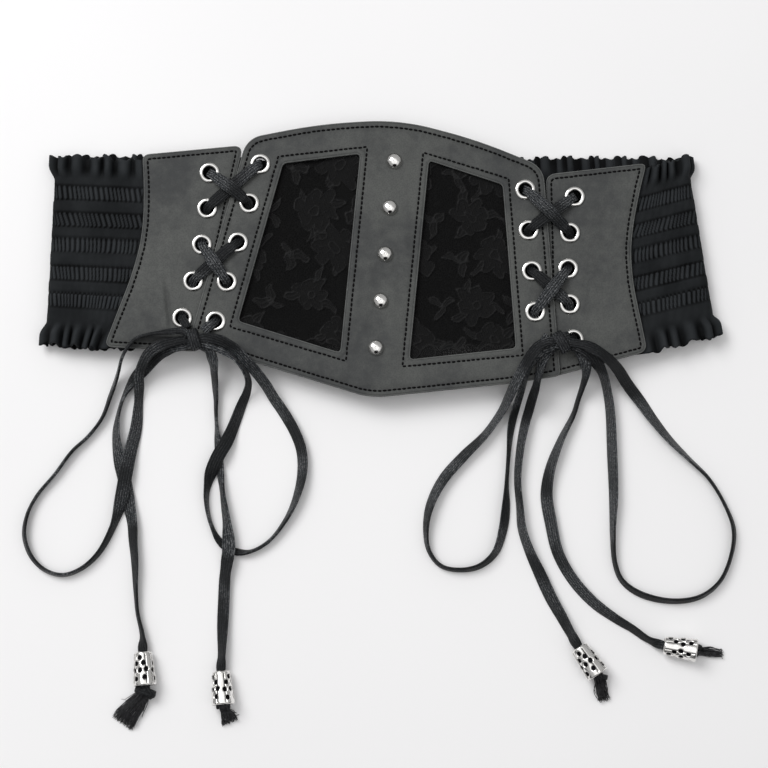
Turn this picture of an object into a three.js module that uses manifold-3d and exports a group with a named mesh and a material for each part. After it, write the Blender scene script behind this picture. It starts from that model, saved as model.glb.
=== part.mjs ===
// Corset belt, laid flat: a pointed leather front with two lace windows, laced to two leather
// side panels, and a shirred elastic band that folds round each end and closes behind.
// Millimetres. X runs along the belt, Y across it to the pointed top, Z up from the surface.
import * as THREE from "three";
import { mergeVertices } from "three/addons/utils/BufferGeometryUtils.js";
import Module from "manifold-3d";

const wasm = await Module();
wasm.setup();

// Walls and clearances
const leather_wall = 1.6;
const lace_wall = 1;
const elastic_wall = 1.3;
const elastic_puff = 0.15;
const tab_wall = 1.6;
const layer_gap = 0.3;
const seat_gap = 0.1;
const hollow_height = 7.3;

// Front panel
const panel_half_width = 93;
const panel_half_height = 71;
const bar_half_width = 17.4;
const window_top_margin = 16.6;
const window_side_margin = 21.4;
const window_bottom_margin = 17.6;
const window_round = 2;
const lace_seam = 3.6;

// Side panels
const side_tuck = 16.4;
const side_width = 58.7;
const side_top = 51;
const side_drop = 53.2;
const side_slide_inset = 1.8;
const side_inner = panel_half_width - side_tuck;

// Eyelets and studs
const rows_of_eyelets = 5;
const eyelet_hole = 3.1;
const eyelet_barrel = 3.6;
const eyelet_flange = 5.2;
const eyelet_back_flange = 4.8;
const eyelet_rise = 0.7;
const eyelet_back = 0.45;
const eyelet_clearance = 0.3;
const eyelet_sides = 10;
const front_eyelet_drop = 29.3;
const front_eyelet_foot = 31.5;
const front_eyelet_inset = 10.2;
const side_eyelet_top = 38;
const side_eyelet_pitch = 18.3;
const stud_radius = 4;
const stud_height = 3;
const stud_sides = 10;
const stud_top = 49.6;
const stud_pitch = 23.65;
const number_of_studs = 5;

// Laced stretches
const laced_width = 5;
const laced_wall = 1.2;
const laced_width_in_hole = 3.2;
const laced_over = 0.5;
const laced_under = 0.3;
const laced_lift = 0.8;
const laced_hump = 2.1;
const laced_reach = 4.6;
const laced_rim = 2.5;
const ribbon_section = [
  [0.5, 0],
  [0.35, 0.5],
  [-0.35, 0.5],
  [-0.5, 0],
  [-0.35, -0.5],
  [0.35, -0.5],
];

// Elastic band
const band_top = 52.5;
const band_bottom = -43;
const band_sewn_in = 9;
const band_sewn_drop = 2;
const band_sewn_rise = 6.9;
const band_seam_margin = 1;
const band_reach = 33.3;
const ruffle_height = 1.5;
const ruffle_scallop = 0.7;
const front_pleats = 10;
const fold_steps = 3;
const back_pleats = 6;

// Hidden closure behind
const tab_left = -25;
const tab_width = 38;
const tab_lap = 11;
const tab_round = 3;
const snap_inset = 13;
const snap_radius = 4.5;
const snap_rise = 0.6;
const snap_top = 3.6;
const snap_sides = 10;
const number_of_snaps = 4;

// Free laces of the bows, a little rolled on edge, so they cover less than their full width
const bow_lace_width = 5;
const bow_lace_wall = 2.2;
const bow_lace_step = 16;
const bow_lace_gather = 0.35;
const bow_lace_sides = 8;

// Cord ends and tassels
const bead_length = 16.5;
const bead_hole = 3.3;
const bead_narrow = 4.5;
const bead_wide = 5.9;
const bead_rim = 0.4;
const bead_sides = 8;
const knot_round = 1.2;
const knot_side_round = 2;
const tassel_length = 25;
const tassel_knot_depth = 0.75;
const lock_root = 0.9;
const lock_tip = 1.1;
const lock_end_wall = 1.8;
const lock_end_width = 1.4;
const lock_spread = 1.5;
const short_lock = 0.88;

// How the belt lies: the front is turned a little, and each side has slid along its lacing
const lay = {
  turn: THREE.MathUtils.degToRad(-5.6),
  x: 1.75,
  y: -0.28,
  slide_from: side_inner + side_slide_inset,
  slide_slope: 0.2126,
};

// The end folds of the band in plan. out is a share of band_reach beyond the side panel, and up a
// share of band_top or band_bottom.
const folds = {
  left: {
    top: { out: 0.88, up: 1.008 },
    bottom: { out: 1, up: 0.991 },
    back_end: tab_left + tab_lap,
  },
  right: {
    top: { out: 0.589, up: 1.008 },
    bottom: { out: 1, up: 0.893 },
    back_end: tab_left + tab_width - tab_lap,
  },
};

// Heights above the surface
const band_thickest = elastic_wall + 2 * elastic_puff;
const tab_base = band_thickest + layer_gap;
const side_base = tab_base + tab_wall + hollow_height;
const side_face = side_base + leather_wall;
const panel_base = side_face + layer_gap;
const panel_face = panel_base + leather_wall;
const band_front = side_base - layer_gap - band_thickest / 2;

// The right half of the front panel's outline, from the top middle to the bottom middle.
// across is a share of panel_half_width, up and round are shares of panel_half_height.
const front_outline = [
  { across: 0, up: 1.003, round: 0.28 },
  { across: 0.43, up: 0.91, round: 0.225 },
  { across: 0.805, up: 0.763, round: 0.113 },
  { across: 1, up: -0.704, round: 0.035 },
  { across: 0.731, up: -0.794, round: 0.14 },
  { across: 0, up: -0.99, round: 0.113 },
];

// The side panel's outline from its inner top corner round the hollowed outer edge.
// out and round are shares of side_width, up is a share of side_top above the middle and of
// side_drop below it.
const side_outline = [
  { out: 0, up: 0.995, round: 0.085 },
  { out: 0.852, up: 1.005, round: 0.06 },
  { out: 0.812, up: 0.72, round: 0.136 },
  { out: 0.783, up: 0.38, round: 0.136 },
  { out: 0.785, up: 0.1, round: 0.136 },
  { out: 0.833, up: -0.21, round: 0.136 },
  { out: 0.917, up: -0.53, round: 0.136 },
  { out: 1, up: -0.855, round: 0.077 },
  { out: 0.2, up: -1, round: 0.034 },
];

// Where each eyelet of the side column lies across the side panel, as a share of side_width
const side_eyelet_out = [0.262, 0.25, 0.262, 0.303, 0.363];

// Rows across the band, from the top ruffle to the bottom one. at is the share of the way down,
// ruffle is the share of the ruffle's height there and puff the share of elastic_puff.
const band_rows = [
  { at: 0, ruffle: 1, puff: -1 },
  { at: 0.055, ruffle: 0.85, puff: 0 },
  { at: 0.13, ruffle: 0.25, puff: 1 },
  { at: 0.195, ruffle: 0, puff: -1 },
  { at: 0.267, ruffle: 0, puff: 1 },
  { at: 0.338, ruffle: 0, puff: -1 },
  { at: 0.405, ruffle: 0, puff: 1 },
  { at: 0.472, ruffle: 0, puff: -1 },
  { at: 0.546, ruffle: 0, puff: 1 },
  { at: 0.62, ruffle: 0, puff: -1 },
  { at: 0.69, ruffle: 0, puff: 1 },
  { at: 0.76, ruffle: 0, puff: -1 },
  { at: 0.85, ruffle: 0.25, puff: 1 },
  { at: 0.94, ruffle: 0.85, puff: 0 },
  { at: 1, ruffle: 1, puff: -1 },
];

// Profile of a stud from its seat to its top, in shares of its radius and height
const stud_profile = [
  { out: 0, up: 0 },
  { out: 1, up: 0 },
  { out: 0.93, up: 0.4 },
  { out: 0.6, up: 0.82 },
  { out: 0, up: 1 },
];

// The order in which the lace goes through the eyelets of one side. left and right are how the
// stretch to the next eyelet runs on that side: above the leather, crossing low or high, or below.
const lacing_order = [
  { column: "side", row: 4, left: "below", right: "below" },
  { column: "side", row: 3, left: "low", right: "low" },
  { column: "front", row: 2, left: "below", right: "below" },
  { column: "front", row: 1, left: "high", right: "low" },
  { column: "side", row: 0, left: "below", right: "below" },
  { column: "front", row: 0, left: "low", right: "high" },
  { column: "side", row: 1, left: "below", right: "below" },
  { column: "side", row: 2, left: "high", right: "high" },
  { column: "front", row: 3, left: "below", right: "below" },
  { column: "front", row: 4, left: "knot", right: "knot" },
];

// Knots of the two bows: middle, half sizes, and where the laced stretch comes in at each end
const knots = {
  left: {
    middle: [-93.2, -41.6, 18.3],
    half: [4.2, 5.6, 3.4],
    from_side: [-96.3, -35.5, 16.9],
    from_front: [-88.4, -37.2, 17],
  },
  right: {
    middle: [90, -42.6, 19.2],
    half: [5, 5.8, 3.4],
    from_side: [91.8, -42, 15],
    from_front: [83.4, -39.2, 17.4],
  },
};

// Routes of the free laces, each point [x, y, z]
const bow_loops = [
  [
    [-98.2, -37.5, 20.8], [-104, -37.5, 20], [-111, -38, 17.6], [-117.5, -39, 15.4],
    [-122, -40.5, 14.7], [-125.5, -44, 15.6], [-129, -49.5, 13.8], [-132, -57.5, 6.4],
    [-136, -68, 1.8], [-140, -79, 1.3], [-147, -88.5, 1.3], [-155, -96, 1.3], [-163.5, -107.5, 1.3],
    [-172.5, -118.5, 1.3], [-177, -127.5, 1.3], [-178.5, -138, 1.3], [-175, -148.5, 1.3],
    [-168, -155.5, 1.3], [-159, -158, 1.3], [-150, -155, 1.3], [-141.5, -147.5, 1.3],
    [-135, -136, 1.6], [-131, -124.5, 3.4], [-128.5, -111.5, 4.4], [-126, -97.5, 3.6],
    [-123, -84, 1.9], [-122, -73, 1.8], [-121.5, -65, 4.4], [-121, -58, 9], [-118.5, -52, 13.6],
    [-115, -47.5, 16.2], [-109, -44, 17.8], [-103.5, -42.5, 18.4], [-98.3, -41.5, 18.5],
  ],
  [
    [-88.2, -40.5, 20.8], [-82, -41.5, 20.8], [-73.5, -45.5, 19.4], [-67.5, -51.5, 17.2],
    [-62.5, -57, 14.6], [-57.5, -63.5, 8.8], [-53.5, -70, 3.6], [-49, -76.5, 1.3],
    [-43.5, -86, 1.3], [-40, -95.5, 1.3], [-39.5, -106.5, 1.3], [-42.5, -119.5, 1.3],
    [-48, -131, 1.3], [-56.5, -141.5, 1.3], [-66, -146.5, 1.3], [-74, -146, 1.3],
    [-80.5, -141.5, 1.3], [-85.5, -131.5, 1.3], [-87.5, -119.5, 1.5], [-86, -109.5, 2.8],
    [-82, -99.5, 5.2], [-77, -90.5, 4.4], [-73, -80.5, 1.3], [-70, -72.5, 1.4],
    [-67.5, -66.5, 4.2], [-66.5, -61.5, 8.4], [-68, -56.5, 13.2], [-71.5, -51.5, 16.4],
    [-77, -47.5, 17.9], [-83, -44.5, 18.4], [-88.2, -43, 18.5],
  ],
  [
    [83.6, -42.5, 21.8], [79, -44.5, 21.8], [75, -48.5, 21.4], [71.8, -53.5, 20.4],
    [69, -58.5, 18.8], [66.3, -64, 17.4], [63.6, -70, 10.2], [60, -77, 2.4], [52.5, -87.5, 1.3],
    [41.5, -98.5, 1.3], [31, -110.5, 1.3], [24.5, -123.5, 1.3], [22.5, -135.5, 1.3],
    [24, -146, 1.3], [30, -153.5, 1.3], [40, -155.5, 1.3], [49.5, -153.5, 1.3], [57, -147, 1.3],
    [61, -135.5, 1.3], [62.5, -124.5, 1.3], [63, -112.5, 1.3], [64, -98.5, 1.3], [65, -86.5, 1.4],
    [66.3, -79.5, 3.4], [68, -73, 8.2], [69.8, -67, 13.2], [71.4, -61.5, 16.2], [73.3, -56, 17.3],
    [76.3, -50.5, 18.7], [79.8, -47, 19.2], [83.6, -45.5, 19.3],
  ],
  [
    [96.6, -45, 19.3], [100.8, -46.8, 19.3], [104.8, -50, 18.6], [108, -54, 15.8],
    [111, -58.5, 11], [113.5, -65.5, 4.8], [115, -74, 2.2], [116, -96.5, 1.4], [116.5, -118, 1.3],
    [116, -139.5, 1.3], [117, -152.5, 1.3], [120.5, -161, 1.3], [129.5, -167.5, 1.3],
    [145, -171, 1.3], [159, -169, 1.3], [169, -161.5, 1.3], [175, -148.5, 1.3],
    [176.5, -135.5, 1.3], [172.5, -123.5, 1.3], [164.5, -110, 1.3], [154.5, -100, 1.3],
    [145, -90.5, 1.3], [137, -80.5, 1.3], [130, -70.5, 2], [124, -63, 4.8], [118.5, -56, 11.4],
    [113.5, -51.5, 17.6], [107.8, -47.5, 21], [102.2, -45, 21.7], [96.6, -43.5, 21.7],
  ],
];
const bow_tails = [
  [
    [-98.3, -44.5, 16.1], [-103, -45, 15.9], [-109, -47, 14.6], [-114, -50.5, 10.8],
    [-118.5, -54.5, 6], [-123, -58.5, 2.4], [-127, -64, 1.3], [-130, -70, 1.3], [-132.5, -80, 1.3],
    [-133, -88.5, 1.3], [-131.5, -99.5, 1.3], [-128.5, -111.5, 1.3], [-126, -124.5, 1.3],
    [-124.5, -132.5, 1.3], [-124, -140.5, 1.3], [-123, -151.5, 1.3], [-122.5, -164.5, 1.3],
    [-121.5, -176.5, 1.6], [-119, -187.5, 3], [-118.4, -196.2, 4.5], [-117, -212.6, 6.1],
  ],
  [
    [-88.2, -44.8, 16.1], [-85.8, -46.2, 16.1], [-84.3, -49.5, 15.2], [-83.7, -54, 12],
    [-83.5, -59, 7.4], [-83.4, -64.5, 3], [-83, -70, 1.3], [-83, -76, 1.3], [-82.5, -85.5, 1.3],
    [-81.5, -96.5, 1.3], [-80.5, -107.5, 1.3], [-79, -120, 1.6], [-77, -133, 3.5], [-76, -145, 4.6],
    [-77, -152, 4.2], [-78, -159.5, 2.2], [-78.5, -171.5, 1.3], [-79, -184.5, 1.4],
    [-79.2, -195.5, 2.8], [-79.5, -205.6, 4.5], [-78.1, -222, 6.1],
  ],
  [
    [83.6, -48, 16.9], [81, -51, 17.2], [79.3, -55.5, 16.9], [78, -60.5, 17.6], [77, -65.5, 14],
    [75.6, -70.5, 8.2], [74.2, -76, 2.4], [72.2, -83, 1.3], [70, -94, 1.3], [68.5, -110.5, 1.3],
    [69.5, -123.5, 1.3], [70.5, -134.5, 1.3], [74, -145.5, 1.3], [79, -156.5, 1.3], [85, -169.5, 1.3],
    [90.5, -179.5, 1.8], [94.5, -187, 3.2], [98.3, -193.8, 4.5], [107.6, -207.4, 6.1],
  ],
  [
    [97, -46, 16.9], [99, -48, 16.8], [101, -51, 16], [102, -54.8, 15.6], [102, -59, 12],
    [101, -64, 6], [99.2, -70, 1.6], [97, -77, 1.3], [90.5, -90, 1.3], [85, -104.5, 1.3],
    [83, -118, 1.3], [85, -131.5, 1.3], [88.5, -147, 1.3], [96, -160.5, 1.3], [106.5, -172, 1.3],
    [117.5, -180, 1.4], [125, -184.5, 2], [133, -190, 3.4], [140.6, -192.9, 4.5],
    [156.9, -195.4, 6.1],
  ],
];

// Each tassel beyond its bead: heading in plan in degrees, length and half width of the fan at its
// end as shares of tassel_length, half width of the knot as a share of bead_wide, number of locks
const tassels = [
  { heading: -127, length: 1, fan: 0.3, knot: 0.78, locks: 4 },
  { heading: -66, length: 0.44, fan: 0.168, knot: 0.542, locks: 3 },
  { heading: -80, length: 0.56, fan: 0.104, knot: 0.576, locks: 2 },
  { heading: -6, length: 0.6, fan: 0.08, knot: 0.508, locks: 2 },
];

// Finishes
const finishes = {
  leather: { color: "#50524f", roughness: 0.62, metalness: 0 },
  lace: { color: "#17181a", roughness: 0.85, metalness: 0 },
  elastic: { color: "#202226", roughness: 0.75, metalness: 0 },
  cord: { color: "#1d1e20", roughness: 0.55, metalness: 0 },
  metal: { color: "#c9c9c6", roughness: 0.22, metalness: 1 },
};

const group = new THREE.Group();

function addPiece(name, geometry, finish) {
  const mesh = new THREE.Mesh(geometry, new THREE.MeshStandardMaterial(finishes[finish]));
  mesh.name = name;
  group.add(mesh);
  return mesh;
}

// A place on the front panel's pattern, as it lies on the surface
function turned(x, y) {
  const point = new THREE.Vector2(x, y).rotateAround(new THREE.Vector2(0, 0), lay.turn);
  return point.add(new THREE.Vector2(lay.x, lay.y));
}

// The same for the side parts, which have slid along the lacing. side is 1 right, -1 left.
function slid(across, up, side) {
  const slide = Math.max(0, across - lay.slide_from) * lay.slide_slope * side;
  return turned(across * side, up + slide);
}

// A closed outline through corner points, each rounded over its own length along both edges
function roundedOutline(corners, divisions) {
  const shape = new THREE.Shape();
  corners.forEach((corner, index) => {
    const before = corners[(index + corners.length - 1) % corners.length];
    const after = corners[(index + 1) % corners.length];
    const reach_in = Math.min(corner.round, 0.45 * corner.at.distanceTo(before.at));
    const reach_out = Math.min(corner.round, 0.45 * corner.at.distanceTo(after.at));
    const start = corner.at.clone().add(before.at.clone().sub(corner.at).setLength(reach_in));
    const end = corner.at.clone().add(after.at.clone().sub(corner.at).setLength(reach_out));
    if (index === 0) shape.moveTo(start.x, start.y);
    else shape.lineTo(start.x, start.y);
    shape.quadraticCurveTo(corner.at.x, corner.at.y, end.x, end.y);
  });
  const points = shape.getPoints(divisions);
  return THREE.ShapeUtils.isClockWise(points) ? points.reverse() : points;
}

function circlePoints(centre, radius, sides) {
  return Array.from({ length: sides }, (_, index) => {
    const angle = (index / sides) * Math.PI * 2;
    return new THREE.Vector2(centre.x + radius * Math.cos(angle), centre.y + radius * Math.sin(angle));
  });
}

// A flat wall with holes, its lower face at height base
function plate(outline, holes, wall, base) {
  const shape = new THREE.Shape(outline);
  shape.holes = holes.map((points) => new THREE.Path(points));
  const geometry = new THREE.ExtrudeGeometry(shape, { depth: wall, bevelEnabled: false });
  return geometry.translate(0, 0, base);
}

// A closed body through rings of points that all have the same even count. Each ring runs along
// one face and back along the other, so each end is capped by a strip between the two.
function loftRings(rings) {
  const count = rings[0].length;
  const faces = [];
  for (let ring = 0; ring + 1 < rings.length; ring += 1) {
    for (let index = 0; index < count; index += 1) {
      const a = ring * count + index;
      const b = ring * count + ((index + 1) % count);
      faces.push(a, b, b + count, a, b + count, a + count);
    }
  }
  const last = (rings.length - 1) * count;
  for (let index = 0; index + 1 < count / 2; index += 1) {
    const opposite = count - 1 - index;
    faces.push(index, opposite, opposite - 1, index, opposite - 1, index + 1);
    faces.push(last + index, last + opposite - 1, last + opposite);
    faces.push(last + index, last + index + 1, last + opposite - 1);
  }
  const points = rings.flat();
  let volume = 0;
  for (let face = 0; face < faces.length; face += 3) {
    const [a, b, c] = faces.slice(face, face + 3).map((index) => points[index]);
    volume += a.dot(new THREE.Vector3().crossVectors(b, c));
  }
  if (volume < 0) faces.reverse();
  const geometry = new THREE.BufferGeometry();
  const numbers = points.flatMap((point) => point.toArray());
  geometry.setAttribute("position", new THREE.Float32BufferAttribute(numbers, 3));
  geometry.setIndex(faces);
  return geometry;
}

// Corners and edges of the front panel, on its right half
function frontCorner(index) {
  const row = front_outline[index];
  return new THREE.Vector2(row.across * panel_half_width, row.up * panel_half_height);
}

function alongLine(from, to, value, axis) {
  const other = axis === "x" ? "y" : "x";
  return from[other] + ((to[other] - from[other]) * (value - from[axis])) / (to[axis] - from[axis]);
}

function panelEdge(up) {
  return alongLine(frontCorner(2), frontCorner(3), up, "y");
}

function panelTop(across) {
  const first = across < frontCorner(1).x ? 0 : 1;
  return alongLine(frontCorner(first), frontCorner(first + 1), across, "x");
}

function panelBottom(across) {
  const first = across < frontCorner(4).x ? 4 : 3;
  return alongLine(frontCorner(first), frontCorner(first + 1), across, "x");
}

// The outline of a window, grown by a seam all round
function windowOutline(side, seam) {
  const inner = bar_half_width - seam;
  const near_top = panelEdge(frontCorner(2).y - window_top_margin) - window_side_margin;
  const near_bottom = panelEdge(frontCorner(4).y + window_bottom_margin) - window_side_margin;
  const top = panelTop(near_top) - window_top_margin + seam;
  const bottom = panelBottom(near_bottom) + window_bottom_margin - seam;
  const corners = [
    [inner, panelTop(inner) - window_top_margin + seam],
    [panelEdge(top) - window_side_margin + seam, top],
    [panelEdge(bottom) - window_side_margin + seam, bottom],
    [inner, panelBottom(inner) + window_bottom_margin - seam],
  ];
  const rounded = corners.map(([across, up]) => ({ at: turned(across * side, up), round: window_round }));
  return roundedOutline(rounded, 3);
}

// The two columns of eyelets on each side: where each eyelet is, and the wall that it is set in
const eyelet_columns = {
  front: {
    centre(row, side) {
      const column = 2 * panel_half_height - front_eyelet_drop - front_eyelet_foot;
      const up = panel_half_height - front_eyelet_drop - (column * row) / (rows_of_eyelets - 1);
      return turned((panelEdge(up) - front_eyelet_inset) * side, up);
    },
    base: panel_base,
  },
  side: {
    centre(row, side) {
      const up = side_eyelet_top - side_eyelet_pitch * row;
      return slid(side_inner + side_eyelet_out[row] * side_width, up, side);
    },
    base: side_base,
  },
};

function eyeletHoles(column, side) {
  return Array.from({ length: rows_of_eyelets }, (_, row) => {
    const centre = eyelet_columns[column].centre(row, side);
    return circlePoints(centre, eyelet_barrel + eyelet_clearance, eyelet_sides);
  });
}

function makeFrontPanel() {
  const right = front_outline.map((row, index) => {
    return { at: frontCorner(index), round: row.round * panel_half_height };
  });
  const left = right.slice(1, -1).reverse();
  const corners = [
    ...right.map(({ at, round }) => ({ at: turned(at.x, at.y), round })),
    ...left.map(({ at, round }) => ({ at: turned(-at.x, at.y), round })),
  ];
  const holes = [-1, 1].flatMap((side) => [windowOutline(side, 0), ...eyeletHoles("front", side)]);
  addPiece("centre_panel", plate(roundedOutline(corners, 4), holes, leather_wall, panel_base), "leather");
}

function makeLacePanel(name, side) {
  const base = panel_base - layer_gap - lace_wall;
  addPiece(name, plate(windowOutline(side, lace_seam), [], lace_wall, base), "lace");
}

function sideCorner(row) {
  const height = row.up > 0 ? side_top : side_drop;
  return new THREE.Vector2(side_inner + row.out * side_width, row.up * height);
}

function makeSidePanel(name, side) {
  const corners = side_outline.map((row) => {
    const { x, y } = sideCorner(row);
    return { at: slid(x, y, side), round: row.round * side_width };
  });
  const outline = roundedOutline(corners, 3);
  addPiece(name, plate(outline, eyeletHoles("side", side), leather_wall, side_base), "leather");
}

function makeStud(name, index) {
  const points = stud_profile.map(({ out, up }) => new THREE.Vector2(out * stud_radius, up * stud_height));
  const mesh = addPiece(name, new THREE.LatheGeometry(points, stud_sides).rotateX(Math.PI / 2), "metal");
  const centre = turned(0, stud_top - stud_pitch * index);
  mesh.position.set(centre.x, centre.y, panel_face + seat_gap);
}

function makeEyelet(name, column, row, side) {
  const top = leather_wall + seat_gap;
  const profile = [
    [eyelet_hole, -seat_gap - eyelet_back],
    [eyelet_back_flange, -seat_gap],
    [eyelet_barrel, -seat_gap],
    [eyelet_barrel, top],
    [eyelet_flange, top],
    [eyelet_hole, top + eyelet_rise],
  ];
  const points = profile.map(([radius, height]) => new THREE.Vector2(radius, height));
  points.push(points[0].clone());
  const mesh = addPiece(name, new THREE.LatheGeometry(points, eyelet_sides).rotateX(Math.PI / 2), "metal");
  const centre = eyelet_columns[column].centre(row, side);
  mesh.position.set(centre.x, centre.y, eyelet_columns[column].base);
}

// How far out the hollowed edge of the side panel is at a height
function sideEdge(up) {
  const corners = side_outline.slice(1, -1).map(sideCorner);
  const height = Math.max(up, corners[corners.length - 1].y);
  const below = Math.max(1, corners.findIndex((corner) => corner.y <= height));
  return alongLine(corners[below - 1], corners[below], height, "y");
}

// One side of the band: a sheet that starts under the side panel, runs out to the fold, turns
// back below and ends at the closure. Each row across it is one line of the sheet.
function makeBand(name, side, fold) {
  const radius = (band_front - band_thickest / 2) / 2;
  const middle = band_thickest / 2 + radius;
  const side_end = side_inner + side_width;
  const fold_top_x = side * (side_end + fold.top.out * band_reach);
  const fold_bottom_x = side * (side_end + fold.bottom.out * band_reach);
  const fold_top = new THREE.Vector2(fold_top_x, fold.top.up * band_top);
  const fold_bottom = new THREE.Vector2(fold_bottom_x, fold.bottom.up * band_bottom);
  const lines = band_rows.map((row) => {
    const up = THREE.MathUtils.lerp(side_top - band_sewn_drop, band_sewn_rise - side_drop, row.at);
    const seam = slid(sideEdge(up) + band_seam_margin, up, side);
    const edge = fold_top.clone().lerp(fold_bottom, row.at);
    const inward = seam.clone().sub(edge).normalize();
    return {
      ...row,
      start: slid(sideEdge(up) - band_sewn_in, up, side),
      seam,
      inward,
      turn: edge.clone().addScaledVector(inward, radius + elastic_wall / 2),
      end: new THREE.Vector2(fold.back_end, THREE.MathUtils.lerp(band_top, band_bottom, row.at)),
      half: elastic_wall / 2 + elastic_puff * row.puff,
      scallop: row.at < 0.5 ? ruffle_scallop : -ruffle_scallop,
    };
  });

  function frontPoint(line, step, face) {
    const place = step < 0 ? line.start : line.seam.clone().lerp(line.turn, step / front_pleats);
    const pleat = step < 1 ? 0 : line.ruffle * (step % 2 === 0 ? 1 : -1);
    const height = band_front + face * line.half + pleat * ruffle_height;
    return new THREE.Vector3(place.x, place.y + pleat * line.scallop, height);
  }

  function foldPoint(line, step, face) {
    const angle = (step / fold_steps) * Math.PI;
    const reach = radius + face * line.half;
    const place = line.turn.clone().addScaledVector(line.inward, -Math.sin(angle) * reach);
    return new THREE.Vector3(place.x, place.y, middle + Math.cos(angle) * reach);
  }

  function backPoint(line, step, face) {
    const place = line.turn.clone().lerp(line.end, step / back_pleats);
    const pleat = step < back_pleats - 1 && step % 2 === 1 ? line.ruffle * ruffle_height : 0;
    return new THREE.Vector3(place.x, place.y, (face > 0 ? 0 : 2 * line.half) + pleat);
  }

  function ring(pointAt, step) {
    const outer = lines.map((line) => pointAt(line, step, 1));
    const inner = lines.map((line) => pointAt(line, step, -1));
    return [...outer, ...inner.reverse()];
  }

  const rings = [];
  for (let step = -1; step <= front_pleats; step += 1) rings.push(ring(frontPoint, step));
  for (let step = 1; step <= fold_steps; step += 1) rings.push(ring(foldPoint, step));
  for (let step = 1; step <= back_pleats; step += 1) rings.push(ring(backPoint, step));
  addPiece(name, loftRings(rings), "elastic");
}

// A flat lace through stations, each with its point, the plan angle of its width, width and wall
function makeRibbon(stations) {
  const rings = stations.map((station, index) => {
    const before = stations[Math.max(0, index - 1)].point;
    const after = stations[Math.min(stations.length - 1, index + 1)].point;
    const along = after.clone().sub(before).normalize();
    const level = new THREE.Vector3(Math.cos(station.angle), Math.sin(station.angle), 0);
    const upward = new THREE.Vector3().crossVectors(along, level).normalize();
    const across = new THREE.Vector3().crossVectors(upward, along);
    return ribbon_section.map(([wide, high]) =>
      station.point
        .clone()
        .addScaledVector(across, wide * station.width)
        .addScaledVector(upward, high * station.wall),
    );
  });
  return loftRings(rings);
}

// The lace of one side, whole, through its ten eyelets from one end at the knot to the other
function makeLacing(name, side, knot) {
  const stops = lacing_order.map(({ column, row, left, right }) => {
    const centre = eyelet_columns[column].centre(row, side);
    const base = eyelet_columns[column].base;
    return {
      centre,
      next: side < 0 ? left : right,
      middle: base + leather_wall / 2,
      above: base + leather_wall + seat_gap + eyelet_rise + laced_over + laced_wall / 2,
      below: base - seat_gap - eyelet_back - laced_under - laced_wall / 2,
    };
  });
  const low = panel_face + laced_lift + laced_wall / 2;
  const below = side_base - seat_gap - eyelet_back - laced_under - laced_wall / 2;
  const crossing_heights = { low, high: low + laced_hump, below };
  const first = new THREE.Vector3(...knot.from_side);
  const last = new THREE.Vector3(...knot.from_front);
  const stations = [];

  function add(point, heading, width) {
    const before = stations.length ? stations[stations.length - 1].angle : heading + Math.PI / 2;
    const turns = Math.round((before - (heading + Math.PI / 2)) / Math.PI);
    stations.push({ point, angle: heading + Math.PI / 2 + turns * Math.PI, width, wall: laced_wall });
  }

  function beside(stop, toward, distance, height) {
    const way = toward.clone().sub(stop.centre).setLength(distance);
    return new THREE.Vector3(stop.centre.x + way.x, stop.centre.y + way.y, height);
  }

  function addSide(stop, toward, height, leaving) {
    const heading = toward.clone().sub(stop.centre).angle();
    const is_far = toward.distanceTo(stop.centre) > laced_reach + laced_rim;
    const distances = is_far ? [laced_reach, laced_rim] : [laced_rim];
    if (leaving) distances.reverse();
    distances.forEach((distance) => {
      const width = distance === laced_rim ? laced_width_in_hole : laced_width;
      add(beside(stop, toward, distance, height), heading, width);
    });
  }

  function flat(point) {
    return new THREE.Vector2(point.x, point.y);
  }

  add(first, stops[0].centre.clone().sub(flat(first)).angle(), laced_width_in_hole);
  stops.forEach((stop, index) => {
    const from = index > 0 ? stops[index - 1].centre : flat(first);
    const to = index + 1 < stops.length ? stops[index + 1].centre : flat(last);
    const arrives_below = index > 0 && stops[index - 1].next === "below";
    const leaves_below = stop.next === "below";
    addSide(stop, from, arrives_below ? stop.below : stop.above, false);
    const heading_in = stop.centre.clone().sub(from).angle();
    const hole = new THREE.Vector3(stop.centre.x, stop.centre.y, stop.middle);
    add(hole, heading_in, laced_width_in_hole);
    addSide(stop, to, leaves_below ? stop.below : stop.above, true);
    if (stop.next !== "knot") {
      const crossing = stop.centre.clone().lerp(to, 0.5);
      const height = crossing_heights[stop.next];
      const heading = to.clone().sub(stop.centre).angle();
      add(new THREE.Vector3(crossing.x, crossing.y, height), heading, laced_width);
    }
  });
  add(last, flat(last).sub(stops[stops.length - 1].centre).angle(), laced_width_in_hole);
  addPiece(name, makeRibbon(stations), "cord");
}

function makeBowKnot(name, knot) {
  const [half_x, half_y, half_z] = knot.half;
  const corners = [
    [-half_x, -half_y],
    [half_x, -half_y],
    [half_x, half_y],
    [-half_x, half_y],
  ].map(([x, y]) => ({ at: new THREE.Vector2(x, y), round: knot_side_round }));
  const shape = new THREE.Shape(roundedOutline(corners, 2));
  const depth = 2 * (half_z - knot_round);
  const geometry = new THREE.ExtrudeGeometry(shape, {
    depth,
    bevelThickness: knot_round,
    bevelSize: knot_round,
    bevelOffset: -knot_round,
    bevelSegments: 1,
  });
  addPiece(name, geometry.translate(0, 0, -depth / 2), "cord").position.set(...knot.middle);
}

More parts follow.
